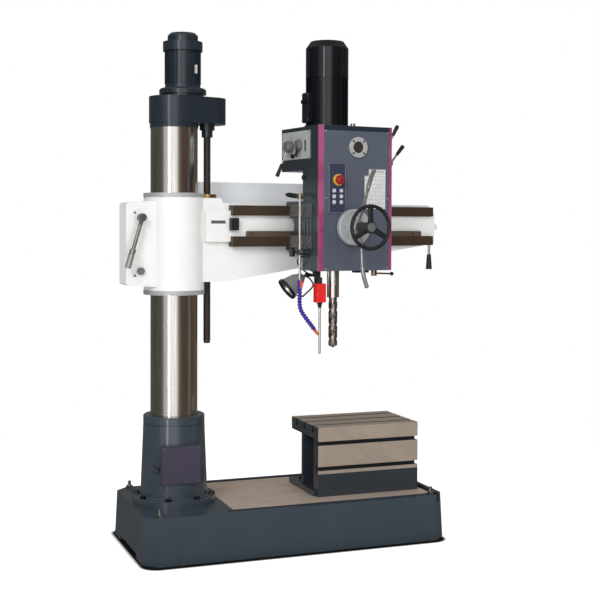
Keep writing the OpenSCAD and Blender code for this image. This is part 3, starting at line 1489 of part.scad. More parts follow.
module head_clamp_lever() {
    a = head_clamp_at.x;
    b = head_clamp_at.y;
    color([0.6, 0.5, 0.3]) in_arm() {
        translate([a, b, head_z - 30]) cylinder(h = 30 - clear_gap, r = 13);
        translate([a, b, head_z - 4]) cylinder(h = 14, r = stem_r);
        rod([a, b, head_z - 18], [a + 92, b, head_z - 22], 4);
        translate([a + 96, b, head_z - 22]) sphere(r = 9);
    }
}

module trip_rod() {
    color("silver") in_arm() translate([trip_at.x, trip_at.y, 0]) {
        translate([0, 0, trip_z]) sphere(r = trip_ball_r);
        translate([0, 0, trip_z - 24]) cylinder(h = 18, r1 = 7, r2 = 11);
        translate([0, 0, 876]) cylinder(h = trip_z - 876, r = 5);
        translate([0, 0, 872]) cylinder(h = 5, r1 = 3, r2 = 5);
    }
}

base_plate();
levelling_bolts();
pedestal();
hex_bolts();
pedestal_cover();
inner_column();
box_table();
column();
column_collar();
elevating_gearbox();
elevating_motor();
screw_bearing();
elevating_screw();
elevating_rotor();
arm_casting();
arm_end_rings();
lift_nut();
arm_key();
traverse_rack();
arm_stops();
arm_handle();
electrical_cabinet();
clamp_bolts();
arm_clamp_lever();
cabinet_door();
head_housing();
head_fascia();
head_trims();
porthole();
fascia_plates();
side_panel();
main_motor();
coolant_pipe();
coolant_hose();
trip_switch();
lamp_bracket();
quill();
spindle();
drill_bit();
feed_levers();
feed_dial();
handwheel();
traverse_shaft();
spindle_gear();
main_rotor();
selector_left();
selector_right();
rotary_switch();
emergency_stop();
push_button(0);  // button_1
push_button(1);  // button_2
push_button(2);  // button_3
push_button(3);  // button_4
push_button(4);  // button_5
push_button(5);  // button_6
speed_lever();
range_lever();
head_clamp_lever();
trip_rod();
work_lamp();
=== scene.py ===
import math
from itertools import product

import bmesh
import bpy
from mathutils import Matrix, Vector


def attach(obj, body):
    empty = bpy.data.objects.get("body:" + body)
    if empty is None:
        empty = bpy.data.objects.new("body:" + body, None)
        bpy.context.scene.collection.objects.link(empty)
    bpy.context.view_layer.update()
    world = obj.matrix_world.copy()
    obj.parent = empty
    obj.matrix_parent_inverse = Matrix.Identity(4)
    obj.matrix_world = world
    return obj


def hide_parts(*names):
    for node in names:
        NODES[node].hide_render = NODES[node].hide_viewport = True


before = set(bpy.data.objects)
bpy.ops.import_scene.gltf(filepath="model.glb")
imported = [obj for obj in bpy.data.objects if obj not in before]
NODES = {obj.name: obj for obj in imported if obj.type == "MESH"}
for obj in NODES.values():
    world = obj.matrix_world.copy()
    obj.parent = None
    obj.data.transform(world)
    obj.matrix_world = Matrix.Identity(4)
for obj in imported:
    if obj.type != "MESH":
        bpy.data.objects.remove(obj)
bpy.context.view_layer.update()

PI = math.pi
METRE = 0.001  # one millimetre in metres

# At rest the arm stands at this angle to the base
ARM = math.radians(6.66)
TO_ARM = Matrix.Rotation(ARM, 4, "Z")

# The photo's camera, fitted to points of the machine
CAMERA_AT = (-1.3443, -5.2176, 1.45105)
CAMERA_HEADING = math.radians(20.684)
CAMERA_TILT = math.radians(1.4)
CAMERA_ROLL = math.radians(-0.2)
SENSOR, LENS = 36, 71.74
LENS_SHIFT = (-0.0078, -0.0800)


def new_object(name, data):
    """Makes an object of the data, in the scene."""
    obj = bpy.data.objects.new(name, data)
    bpy.context.scene.collection.objects.link(obj)
    return obj


def add_camera():
    data = bpy.data.cameras.new("camera")
    camera = new_object("camera", data)
    east, north = math.sin(CAMERA_HEADING), math.cos(CAMERA_HEADING)
    level = math.cos(CAMERA_TILT)
    ahead = Vector((east * level, north * level, -math.sin(CAMERA_TILT)))
    right = Matrix.Rotation(CAMERA_ROLL, 3, ahead) @ Vector((north, -east, 0))
    up = right.cross(ahead)
    m = Matrix((right, up, -ahead)).transposed().to_4x4()
    m.translation = Vector(CAMERA_AT)
    camera.matrix_world = m
    data.sensor_width = SENSOR
    data.lens = LENS
    data.shift_x, data.shift_y = LENS_SHIFT
    data.clip_end = 100
    bpy.context.scene.camera = camera


add_camera()


# Shapes, in millimetres
ON_AXIS = 1e-6  # a smaller radius is a point on the axis


def unit(v):
    return Vector(v).normalized()


def circle(count, offset=0.0):
    """Cosine and sine of count even turns, the first of them offset steps on."""
    turns = [2 * PI * (k + offset) / count for k in range(count)]
    return [(math.cos(t), math.sin(t)) for t in turns]


def spline(points, n):
    """A smooth path through the points, with n steps from each to the next."""
    p = [Vector(q) for q in points]
    out = []
    for i in range(len(p) - 1):
        a, b, c, d = p[max(i - 1, 0)], p[i], p[i + 1], p[min(i + 2, len(p) - 1)]
        for k in range(n):
            t = k / n
            out.append(0.5 * (2 * b + (c - a) * t + (2 * a - 5 * b + 4 * c - d) * t * t
                              + (3 * b - a - 3 * c + d) * t ** 3))
    return out + [p[-1]]


class Shape:
    """Verts and faces in millimetres, in the arm's axes unless piece() is told otherwise. Each way to add
    to them returns the shape."""

    def __init__(self):
        self.verts = []
        self.faces = []

    def add(self, verts, faces):
        n = len(self.verts)
        self.verts += [Vector(v) for v in verts]
        self.faces += [tuple(i + n for i in f) for f in faces]
        return self

    def rings(self, rings, close=False):
        """Joins rings of equal length; a ring of one point is a pole."""
        index = []
        for r in rings:
            start = len(self.verts)
            index.append(range(start, start + len(r)))
            self.verts += [Vector(v) for v in r]
        if close:
            index.append(index[0])
        for p, q in zip(index, index[1:]):
            n = max(len(p), len(q))
            for i in range(n):
                j = (i + 1) % n
                if len(p) == 1:
                    self.faces.append((p[0], q[j], q[i]))
                elif len(q) == 1:
                    self.faces.append((p[i], p[j], q[0]))
                else:
                    self.faces.append((p[i], p[j], q[j], q[i]))
        return self

    def lathe(self, origin, axis, profile, sides=48):
        """A turned body: profile holds (radius, distance along axis), and its two ends close on the axis or
        on each other."""
        w = unit(axis)
        u = w.orthogonal().normalized()
        v = w.cross(u)
        o = Vector(origin)
        turns = circle(sides)
        rings = []
        for r, h in profile:
            if r < ON_AXIS:
                rings.append([o + w * h])
            else:
                rings.append([o + w * h + r * (c * u + s * v) for c, s in turns])
        return self.rings(rings, close=profile[0][0] > ON_AXIS and profile[-1][0] > ON_AXIS)

    def rod(self, p, q, r, sides=20, chamfer=0.8):
        """A round bar from p to q with chamfered ends."""
        p, q = Vector(p), Vector(q)
        h = (q - p).length
        c = min(chamfer, r * 0.4, h * 0.3)
        return self.lathe(p, q - p, [(0, 0), (r - c, 0), (r, c), (r, h - c), (r - c, h), (0, h)], sides)

    def hull(self, points):
        """The convex body round the points."""
        bm = bmesh.new()
        for p in points:
            bm.verts.new(Vector(p))
        bmesh.ops.convex_hull(bm, input=bm.verts)
        used = dict.fromkeys(v for f in bm.faces for v in f.verts)
        order = {v: i for i, v in enumerate(used)}
        self.add([v.co for v in order], [tuple(order[v] for v in f.verts) for f in bm.faces])
        bm.free()
        return self

    def box(self, p, q, c=0.6):
        """A block between two corners, with edges chamfered by c."""
        lo = [min(a, b) for a, b in zip(p, q)]
        hi = [max(a, b) for a, b in zip(p, q)]
        c = min([c] + [(h - l) * 0.4 for l, h in zip(lo, hi)])
        points = []
        for corner in product(*zip(lo, hi)):
            inward = [c if v == low else -c for v, low in zip(corner, lo)]
            for full in range(3):
                points.append([corner[k] + (k != full) * inward[k] for k in range(3)])
        return self.hull(points)

    def tube(self, path, radii, sides=16, bore=0.0):
        """A round body along a path, with one radius or one for each point, and open right through if it
        has a bore."""
        path = [Vector(p) for p in path]
        n = len(path)
        if not isinstance(radii, (list, tuple)):
            radii = [radii] * n
        t = [unit(path[min(i + 1, n - 1)] - path[max(i - 1, 0)]) for i in range(n)]
        u = t[0].orthogonal().normalized()
        turns = circle(sides)
        outer, inner = [], []
        for i in range(n):
            u = (u - t[i] * u.dot(t[i])).normalized()
            v = t[i].cross(u)
            ring = [c * u + s * v for c, s in turns]
            outer.append([path[i] + radii[i] * d for d in ring])
            inner.append([path[i] + bore * d for d in ring])
        if bore:
            return self.rings(outer + inner[::-1], close=True)
        return self.rings([[path[0]]] + outer + [[path[-1]]])

    def prism(self, outline, place, height):
        """A body of even height on a flat outline; place(x, y, height) gives each point."""
        n, start = len(outline), len(self.verts)
        self.rings([[place(*p, h) for p in outline] for h in (0, height)])
        self.faces += [tuple(range(start, start + n))[::-1], tuple(range(start + n, start + 2 * n))]
        return self


SHARP_ANGLE = math.radians(32)


def piece(name, shape, material, body, replaces=(), in_arm=True):
    """Makes an object of the shape that rides on a body."""
    mesh = bpy.data.meshes.new(name)
    m = TO_ARM if in_arm else Matrix.Identity(4)
    mesh.from_pydata([tuple(m @ (v * METRE)) for v in shape.verts], [], shape.faces)
    bm = bmesh.new()
    bm.from_mesh(mesh)
    bmesh.ops.recalc_face_normals(bm, faces=bm.faces)
    bm.to_mesh(mesh)
    bm.free()
    mesh.shade_smooth()
    mesh.set_sharp_from_angle(angle=SHARP_ANGLE)
    mesh.materials.append(material)
    obj = new_object(name, mesh)
    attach(obj, body)
    if replaces:
        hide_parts(*replaces)
    return obj


# Materials. These are parts of a noise's values: most of them, most of them in a metal's lines, and the
# highest ones, for dust
SPAN, LINE_SPAN, DUST_SPAN = (0.3, 0.7), (0.25, 0.75), (0.56, 0.74)


def shade(c, k):
    """The colour k times as bright."""
    return (c[0] * k, c[1] * k, c[2] * k, 1)


class Nodes:
    """A node tree, with short ways to make its nodes."""

    def __init__(self, tree):
        self.t = tree

    def node(self, kind, **sockets):
        n = self.t.nodes.new(kind)
        for k, v in sockets.items():
            self.feed(n.inputs[k], v)
        return n

    def feed(self, socket, value):
        if isinstance(value, bpy.types.NodeSocket):
            self.t.links.new(value, socket)
        else:
            socket.default_value = value

    def math(self, op, a, b=0.0, c=0.0):
        n = self.t.nodes.new("ShaderNodeMath")
        n.operation = op
        for i, v in enumerate((a, b, c)):
            self.feed(n.inputs[i], v)
        return n.outputs[0]

    def range(self, fac, lo, hi, a=0.0, b=1.0):
        """Takes a to lo and b to hi, and nothing beyond them."""
        n = self.node("ShaderNodeMapRange", Value=fac)
        for k, v in (("From Min", a), ("From Max", b), ("To Min", lo), ("To Max", hi)):
            n.inputs[k].default_value = v
        return n.outputs[0]

    def mix(self, fac, a, b, kind="RGBA", blend="MIX"):
        n = self.t.nodes.new("ShaderNodeMix")
        n.data_type, n.blend_type = kind, blend
        i = {"RGBA": (6, 7, 2), "FLOAT": (2, 3, 0)}[kind]
        self.feed(n.inputs[0], fac)
        self.feed(n.inputs[i[0]], a)
        self.feed(n.inputs[i[1]], b)
        return n.outputs[i[2]]


class Mat(Nodes):
    """A material made of nodes."""

    def __init__(self, name):
        self.m = bpy.data.materials.new(name)
        self.m.use_nodes = True
        super().__init__(self.m.node_tree)
        self.shader = self.t.nodes["Principled BSDF"]
        self.co = self.t.nodes.new("ShaderNodeTexCoord").outputs["Object"]

    def mapped(self, scale=(1, 1, 1), turn=0.0):
        """The point of the part, scaled and turned about the upright axis."""
        n = self.node("ShaderNodeMapping", Vector=self.co)
        n.inputs["Scale"].default_value = scale
        n.inputs["Rotation"].default_value = (0, 0, turn)
        return n.outputs[0]

    def noise(self, scale, detail=2.0, rough=0.5, at=None):
        return self.node("ShaderNodeTexNoise", Vector=at or self.co, Scale=scale, Detail=detail,
                         Roughness=rough).outputs["Fac"]

    def mottle(self, fac, color, low, high):
        """The colour between low and high times its brightness."""
        return self.mix(self.range(fac, 0, 1, *SPAN), shade(color, low), shade(color, high))

    def bump(self, height, strength, distance, normal=None):
        n = self.node("ShaderNodeBump", Height=height, Strength=strength, Distance=distance)
        if normal is not None:
            self.t.links.new(normal, n.inputs["Normal"])
        return n.outputs[0]

    def inside(self, lo, hi, at=None):
        """1 inside a box in millimetres and 0 outside; None leaves a side open."""
        n = self.node("ShaderNodeSeparateXYZ", Vector=at or self.co)
        out = None
        for k, (op, ends) in product(range(3), (("GREATER_THAN", lo), ("LESS_THAN", hi))):
            if ends[k] is not None:
                s = self.math(op, n.outputs[k], ends[k] * METRE)
                out = s if out is None else self.math("MULTIPLY", out, s)
        return out

    def set(self, **sockets):
        names = {"color": "Base Color", "rough": "Roughness", "metal": "Metallic", "normal": "Normal",
                 "coat": "Coat Weight", "coat_rough": "Coat Roughness", "spec": "Specular IOR Level",
                 "glow": "Emission Color", "glow_power": "Emission Strength"}
        for k, v in sockets.items():
            self.feed(self.shader.inputs[names[k]], v)


def paint(name, color, rough=0.32, peel=420.0, depth=0.00022, vary=0.10, coat=0.25, dirt=0.25,
          coat_rough=0.09):
    """Sprayed paint: a faint mottle, orange peel of the given grain and depth, and some dust."""
    s = Mat(name)
    big = s.noise(5.5, 3.0, 0.6)
    fine = s.noise(peel, 2.0, 0.55)
    speck = s.noise(1900.0, 1.0, 0.5)
    mottled = s.mottle(big, color, 1 - vary, 1 + vary)
    dust = s.range(s.noise(60.0, 6.0, 0.7), 0, dirt, *DUST_SPAN)
    s.set(color=s.mix(dust, mottled, shade(color, 0.72)), coat=coat, coat_rough=coat_rough,
          rough=s.range(fine, rough - 0.05, rough + 0.07, *SPAN),
          normal=s.bump(speck, 0.12, 0.00005, s.bump(fine, 0.35, depth)))
    return s.m


def metal(name, color, rough=0.3, stretch=(60, 60, 900), full=1.0):
    """Bare metal with fine lines; full is its metallic value."""
    s = Mat(name)
    lines = s.noise(1.0, 3.0, 0.6, s.mapped(stretch))
    cloud = s.noise(14.0, 3.0, 0.6)
    clouded = s.mottle(cloud, color, 0.90, 1.06)
    s.set(color=s.mix(s.range(lines, 0, 0.25, 0.45, 0.75), clouded, shade(color, 0.7)), metal=full,
          rough=s.range(lines, rough - 0.06, rough + 0.08, *LINE_SPAN), normal=s.bump(lines, 0.25, 0.00003))
    return s.m


def plastic(name, color, rough=0.4, grain=1500.0, depth=0.00006, coat=0.0):
    s = Mat(name)
    fine = s.noise(grain, 2.0, 0.6)
    big = s.noise(30.0, 2.0, 0.5)
    s.set(color=s.mix(big, shade(color, 0.86), shade(color, 1.12)), coat=coat,
          rough=s.range(fine, rough - 0.06, rough + 0.08, *SPAN), normal=s.bump(fine, 0.3, depth))
    return s.m


# Colours that more than one material uses
SLATE, FASCIA, IRON = (0.036, 0.050, 0.064), (0.074, 0.086, 0.118), (0.20, 0.21, 0.22)
RUBBER, MOULDED, STEEL = (0.012, 0.012, 0.013), (0.02, 0.02, 0.022), (0.70, 0.69, 0.66)
BLUE, ORANGE = (0.045, 0.024, 0.30), (0.72, 0.13, 0.018)

slate = paint("slate_paint", SLATE, rough=0.24, peel=260, depth=0.0004, vary=0.08, coat=0.5)
dark = paint("dark_paint", (0.016, 0.023, 0.033), rough=0.22, peel=300, coat=0.15)
black = paint("black_paint", (0.004, 0.005, 0.008), rough=0.12, peel=350, depth=0.00005, coat=0.05,
              dirt=0.1, coat_rough=0.03)
fascia_paint = paint("fascia_paint", FASCIA, rough=0.34, depth=0.0001, vary=0.05)
cabinet = paint("cabinet_paint", (0.88, 0.90, 0.93), rough=0.36, peel=700, depth=0.00008, vary=0.025,
                dirt=0.04)
cover_grey = paint("cover_grey", (0.075, 0.084, 0.094), rough=0.3)
cover_plate = paint("cover_plate", (0.048, 0.039, 0.066), rough=0.5, depth=0.00008, vary=0.05, coat=0.0)
silver_plate = metal("silver_plate", (0.60, 0.62, 0.62), 0.38, (40, 40, 700), full=0.35)
dial_metal = metal("dial_metal", (0.54, 0.56, 0.58), 0.36, (300, 300, 300), full=0.4)
grey_iron = metal("grey_iron", IRON, 0.42, (160, 160, 160), full=0.4)
ring_grey = metal("ring_grey", (0.46, 0.47, 0.47), 0.4, (20, 20, 900), full=0.35)
bright = metal("bright_steel", (0.72, 0.71, 0.69), 0.18, (30, 30, 30))
steel = metal("machined_steel", (0.5, 0.47, 0.43), 0.3, (30, 30, 900))
lever_steel = metal("lever_steel", (0.50, 0.50, 0.49), 0.22, (40, 40, 40), full=0.8)
bolt_black = metal("bolt_black", (0.06, 0.06, 0.065), 0.38, (300, 300, 300))
bolt_zinc = metal("bolt_steel", (0.52, 0.52, 0.50), 0.33, (300, 300, 300))
screw_steel = metal("screw_steel", (0.078, 0.066, 0.06), 0.34, (200, 200, 200), full=0.6)
wiper_steel = metal("wiper_steel", (0.19, 0.18, 0.165), 0.4, (300, 300, 40), full=0.4)
bit_steel = metal("bit_steel", (0.38, 0.36, 0.34), 0.24, (60, 60, 60))
rack_steel = metal("rack_steel", (0.17, 0.125, 0.095), 0.36, (300, 300, 40), full=0.5)
bronze = metal("bronze", (0.62, 0.40, 0.15), 0.3, (300, 300, 40))
lamp_metal = metal("lamp_metal", (0.38, 0.40, 0.38), 0.33, (500, 500, 30), full=0.5)
reflector = metal("lamp_reflector", (0.75, 0.77, 0.76), 0.3, (300, 300, 300))
rubber = plastic("black_rubber", RUBBER, 0.55)
grip = plastic("black_grip", (0.011, 0.011, 0.012), 0.34)
wheel_black = plastic("wheel_black", (0.013, 0.013, 0.014), 0.42, 900, 0.0001)
hose_blue = plastic("hose_blue", BLUE, 0.38)
orange = plastic("nozzle_orange", ORANGE, 0.4)
red_plastic = plastic("red_plastic", (0.27, 0.010, 0.008), 0.3, coat=0.3)
white_plastic = plastic("white_plastic", (0.52, 0.52, 0.56), 0.35)
print_dark = plastic("dark_print", (0.05, 0.055, 0.07), 0.5)
chart_ink = plastic("chart_ink", (0.20, 0.21, 0.22), 0.5)
grey_mark = metal("grey_mark", (0.12, 0.12, 0.12), 0.4, (500, 30, 30), full=0.2)


def magenta_paint():
    """Magenta with metal flakes, whose glints are painted in as lighter specks."""
    s = Mat("magenta_trim")
    fine = s.noise(420, 3, 0.6)
    glint = s.range(s.noise(950, 1, 0.5), 0, 1, 0.6, 0.72)
    base = s.mix(s.range(s.noise(7, 2, 0.5), 0, 1, 0.35, 0.65), (0.20, 0.026, 0.090, 1),
                 (0.31, 0.055, 0.155, 1))
    s.set(color=s.mix(glint, base, (0.66, 0.25, 0.42, 1)), rough=0.3, coat=0.5, coat_rough=0.1,
          normal=s.bump(fine, 0.4, 0.0003))
    return s.m


def column_steel():
    """Ground steel with fine rings round it and faint streaks along it."""
    s = Mat("column_steel")
    rings = s.noise(1.0, 4.0, 0.6, s.mapped((8, 8, 1400)))
    streak = s.noise(1.0, 3.0, 0.6, s.mapped((130, 130, 3)))
    color = s.mix(s.range(streak, 0, 1, *SPAN), (0.60, 0.58, 0.55, 1), (0.74, 0.72, 0.69, 1))
    s.set(color=color, metal=1.0, rough=s.range(rings, 0.12, 0.22, *SPAN),
          normal=s.bump(rings, 0.15, 0.00001))
    return s.m


def ground(s, color, stretch):
    """Colour, roughness and height of a milled or ground face."""
    lines = s.noise(1.0, 4.0, 0.65, s.mapped(stretch))
    cloud = s.noise(9.0, 4.0, 0.65)
    c = s.mottle(cloud, color, 0.9, 1.08)
    c = s.mix(s.range(lines, 0, 0.3, 0.4, 0.75), c, shade(color, 0.72))
    return c, s.range(lines, 0.29, 0.42, *LINE_SPAN), lines


def painted_and_ground(name, color, mask_boxes, ground_color, stretch, metallic, peel, depth, at_turn=0.0,
                       rough=0.32, vary=0.08, dirt=0.2):
    """A painted casting whose faces inside the boxes are ground; the boxes' axes turn by at_turn."""
    s = Mat(name)
    at = s.mapped(turn=at_turn) if at_turn else None
    big = s.noise(4.5, 3.0, 0.6)
    fine = s.noise(peel, 2.0, 0.55)
    c0 = s.mottle(big, color, 1 - vary, 1.05)
    c0 = s.mix(s.range(s.noise(45.0, 6.0, 0.7), 0, dirt, *DUST_SPAN), c0, shade(color, 0.75))
    c1, r1, lines = ground(s, ground_color, stretch)
    mask = None
    for lo, hi in mask_boxes:
        m = s.inside(lo, hi, at)
        mask = m if mask is None else s.math("MAXIMUM", mask, m)
    height = s.mix(mask, fine, s.math("MULTIPLY", lines, 0.25), "FLOAT")
    s.set(color=s.mix(mask, c0, c1), metal=s.math("MULTIPLY", mask, metallic),
          rough=s.mix(mask, s.range(fine, rough - 0.05, rough + 0.06, *SPAN), r1, "FLOAT"),
          coat=s.mix(mask, 0.25, 0.0, "FLOAT"), coat_rough=0.1,
          normal=s.bump(height, 0.3, depth))
    return s.m


base_mat = painted_and_ground(
    "base_casting", SLATE,
    [((195.5, -275.5, 160), (1146.5, 275.5, 206)), ((194, -277, 203.8), (1148, 277, 206))],
    (0.53, 0.425, 0.345), (6, 420, 60), metallic=0.2, peel=220, depth=0.0005)
table_mat = painted_and_ground(
    "table_casting", (0.026, 0.034, 0.042),
    [((None, -190, 307.5), (None, -184.6, 522)), ((None, -190, 520.6), (None, 170, 522))],
    (0.38, 0.31, 0.25), (5, 60, 420), metallic=0.25, peel=260, depth=0.0004)
arm_mat = painted_and_ground(
    "arm_casting", (0.78, 0.785, 0.765),
    [((229, -131, 1342), (1298, -89.5, 1389)), ((229, -131, 1483), (1298, -89.5, 1529))],
    (0.066, 0.043, 0.027), (8, 300, 420), metallic=0.3, peel=500, depth=0.00012, at_turn=-ARM, rough=0.3,
    vary=0.02, dirt=0.05)


def glass(name, color, glow=0.0):
    s = Mat(name)
    cloud = s.noise(40, 3, 0.6)
    s.set(color=s.mix(cloud, shade(color, 0.8), shade(color, 1.2)), rough=s.range(cloud, 0.04, 0.1),
          coat=0.6, coat_rough=0.03, glow=shade(color, 1.0), glow_power=glow)
    return s.m


window_glass = glass("window_glass", (0.035, 0.027, 0.022))
bulb_glass = glass("bulb_glass", (0.72, 0.75, 0.72), 0.05)


def zoned(name, base, zones):
    """One part in several finishes: each zone is a box in the arm's axes, a colour, a metallic value and a
    roughness, and base has these three for the rest."""
    s = Mat(name)
    at = s.mapped(turn=-ARM)
    fine = s.noise(600, 2, 0.55)
    cloud = s.noise(12, 3, 0.6)
    color, metallic, rough = (*base[0], 1), base[1], base[2]
    for lo, hi, zone_color, zone_metallic, zone_rough in zones:
        mask = s.inside(lo, hi, at)
        color = s.mix(mask, color, (*zone_color, 1))
        metallic = s.mix(mask, metallic, zone_metallic, "FLOAT")
        rough = s.mix(mask, rough, zone_rough, "FLOAT")
    tone = s.mix(cloud, (0.88, 0.88, 0.88, 1), (1.1, 1.1, 1.1, 1))
    s.set(color=s.mix(1.0, color, tone, blend="MULTIPLY"), metal=metallic,
          rough=s.math("ADD", rough, s.range(fine, -0.05, 0.05, *SPAN)),
          normal=s.bump(fine, 0.25, 0.00008))
    return s.m


plates_mat = zoned("fascia_plates", ((0.42, 0.42, 0.42), 0.6, 0.36), [
    ((559, -419, 1492), (647, -414, 1718), (0.028, 0.036, 0.075), 0.0, 0.4),  # keypad
    ((575, -426, 1608), (640, -418.05, 1672), (0.80, 0.50, 0.04), 0.0, 0.4),  # emergency stop's collar
    ((743, -418, 1514), (851, -414, 1690), (0.70, 0.71, 0.70), 0.2, 0.42),  # chart
    ((743, -418, 1661), (764, -414, 1690), FASCIA, 0.0, 0.36),  # the chart's missing corner
    ((None, None, 1879.5), (None, None, 1900), (0.62, 0.6, 0.56), 1.0, 0.3),  # peg on the head's top
    ((None, None, 1200), (None, None, 1240), MOULDED, 0.0, 0.4),  # block under the head
    ((500, -290, 1640), (512.2, -264, 1666), MOULDED, 0.0, 0.4)])  # plug in its left side
pipe_mat = zoned("coolant_pipe", (STEEL, 1.0, 0.2), [
    ((None, -297, 1540), (None, -100, 1590), RUBBER, 0.0, 0.5),  # feed line
    ((400, None, 1290), (443.6, None, 1350), RUBBER, 0.0, 0.4),  # star knob
    ((443.6, -330, 1300), (462, -280, 1340), IRON, 1.0, 0.4),  # clamp, on both sides of the pipe
    ((481.5, -330, 1300), (None, -280, 1340), IRON, 1.0, 0.4),
    ((460, -325, 1555), (490, -297, 1582), (0.50, 0.40, 0.26), 1.0, 0.3),  # brass fitting
    ((460, -325, 1150), (490, -293, 1197.8), BLUE, 0.0, 0.38),  # valve
    ((None, -400, 1150), (None, -319.5, 1200), ORANGE, 0.0, 0.4)])  # the valve's handle
trip_mat = zoned("trip_switch", ((0.66, 0.014, 0.012), 0.0, 0.32), [
    ((None, None, 1183.2), (None, None, 1260), RUBBER, 0.0, 0.45),
    ((None, -350.2, 1120), (None, -343, 1260), (0.03, 0.035, 0.045), 0.0, 0.4)])
trip_rod_mat = zoned("trip_rod", (STEEL, 1.0, 0.24), [
    ((None, None, 1075.5), (None, None, 1120), RUBBER, 0.0, 0.5)])
clamp_mat = zoned("arm_clamp_lever", ((0.30, 0.30, 0.29), 0.7, 0.3), [
    ((None, None, 1440), (None, None, 1520), (0.12, 0.12, 0.12), 0.5, 0.34),
    ((None, None, 1200), (None, None, 1312), (0.38, 0.38, 0.37), 0.6, 0.32)])
handle_mat = zoned("arm_handle", ((0.55, 0.54, 0.52), 1.0, 0.3), [
    ((None, None, 1200), (None, None, 1298.5), RUBBER, 0.0, 0.38)])
stop_mat = zoned("emergency_stop", ((0.50, 0.012, 0.012), 0.0, 0.3), [
    ((None, -430.0, None), (None, -400, None), (0.5, 0.5, 0.5), 1.0, 0.35)])
head_clamp_mat = zoned("head_clamp_lever", ((0.42, 0.30, 0.16), 1.0, 0.34), [
    ((948, None, None), (980, None, None), RUBBER, 0.0, 0.38)])
housing_mat = zoned("head_housing", ((0.022, 0.030, 0.040), 0.0, 0.3), [
    # a brown strip beside the quill: a painted reflection of the brown surroundings
    ((650, -305, 1130), (678, -295, 1239.2), (0.10, 0.055, 0.028), 0.0, 0.4)])


# The CAD pieces of each material
for material, names in (
        (base_mat, "base_plate"), (slate, "pedestal"), (table_mat, "box_table"), (arm_mat, "arm_casting"),
        (bolt_zinc, "levelling_bolts"), (bolt_black, "hex_bolts"), (cover_plate, "pedestal_cover"),
        (steel, "inner_column elevating_rotor arm_key traverse_shaft spindle_gear main_rotor"),
        (column_steel(), "column"), (dark, "column_collar elevating_gearbox elevating_motor screw_bearing"),
        (screw_steel, "elevating_screw"), (ring_grey, "arm_end_rings"), (bronze, "lift_nut"),
        (rack_steel, "traverse_rack"), (rubber, "arm_stops lamp_bracket"), (handle_mat, "arm_handle"),
        (cabinet, "electrical_cabinet cabinet_door"), (grey_iron, "clamp_bolts"),
        (clamp_mat, "arm_clamp_lever"), (housing_mat, "head_housing"), (fascia_paint, "head_fascia"),
        (magenta_paint(), "head_trims"), (silver_plate, "porthole side_panel selector_left selector_right"),
        (plates_mat, "fascia_plates"), (black, "main_motor"), (pipe_mat, "coolant_pipe"),
        (hose_blue, "coolant_hose"), (trip_mat, "trip_switch"), (bright, "quill spindle feed_levers"),
        (bit_steel, "drill_bit"), (dial_metal, "feed_dial"), (wheel_black, "handwheel"),
        (grip, "rotary_switch"), (stop_mat, "emergency_stop"), (lever_steel, "speed_lever range_lever"),
        (head_clamp_mat, "head_clamp_lever"), (trip_rod_mat, "trip_rod"), (lamp_metal, "work_lamp"),
        (white_plastic, "button_1 button_2 button_3 button_4 button_5 button_6")):
    for name in names.split():
        data = NODES[name].data
        data.materials.clear()
        data.materials.append(material)


# Coolant hose: its middle line, its links and their measures
HOSE = [(475, -309, 1160), (475, -309, 1144), (475, -309, 1128), (474, -310, 1100), (476, -312, 1074),
        (486, -315, 1050), (504, -319, 1024), (516, -321.5, 1008), (528, -324, 992), (540, -326.5, 976)]
HOSE_LINKS, LINK_STEPS = 15, 10
NECK_R, LINK_SWELL, HOSE_BORE_R = 7.4, 3.5, 5.0
LINK_SHARE = 0.7  # how much of each link swells
LINK_FULL = 0.7  # under 1, for a fuller swelling than a sine's


def add_hose():
    """Ball-jointed links as one swelling tube, and the nozzle at its end."""
    path = spline(HOSE, 12)
    at = [0.0]
    for p, q in zip(path, path[1:]):
        at.append(at[-1] + (q - p).length)
    total = at[-1]
    step = total / HOSE_LINKS
    dense, radii = [], []
    n = HOSE_LINKS * LINK_STEPS
    for i in range(n + 1):
        s = total * i / n
        k = max(j for j in range(len(path) - 1) if at[j] <= s)
        f = (s - at[k]) / (at[k + 1] - at[k])
        dense.append(path[k].lerp(path[k + 1], f))
        x = (s % step) / step / LINK_SHARE
        radii.append(NECK_R + LINK_SWELL * math.sin(PI * x) ** LINK_FULL if x < 1 else NECK_R)
    radii[0] = radii[-1] = NECK_R
    hose = piece("hose_links", Shape().tube(dense, radii, 20, HOSE_BORE_R), hose_blue, "head")
    tip = path[-1]
    d = unit(tip - path[-2])
    nozzle = piece("hose_nozzle", Shape().lathe(tip, d, [
        (3.5, 0), (8, 0), (8, 10), (7, 12), (5.6, 30), (3.5, 30)], 24), orange, "head")
    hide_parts("coolant_hose")


add_hose()

# Directions along the arm's axes
AHEAD, BACK, LEFT, RIGHT, UP = (0, -1, 0), (0, 1, 0), (-1, 0, 0), (1, 0, 0), (0, 0, 1)


def gear_outline(teeth, root, tip):
    """Square teeth, four points to each."""
    radii = (root, root, tip, tip)
    return [(radii[k % 4] * c, radii[k % 4] * s) for k, (c, s) in enumerate(circle(teeth * 4, 0.5))]


def cap_screw(shape, at, axis, r, h):
    """A screw's round head with an open socket in it."""
    shape.lathe(at, axis, [(0, -0.5), (r, -0.5), (r, h - 0.5), (r - 0.5, h), (r * 0.55, h),
                           (r * 0.5, h - 1.4), (0, h - 1.4)], 18)


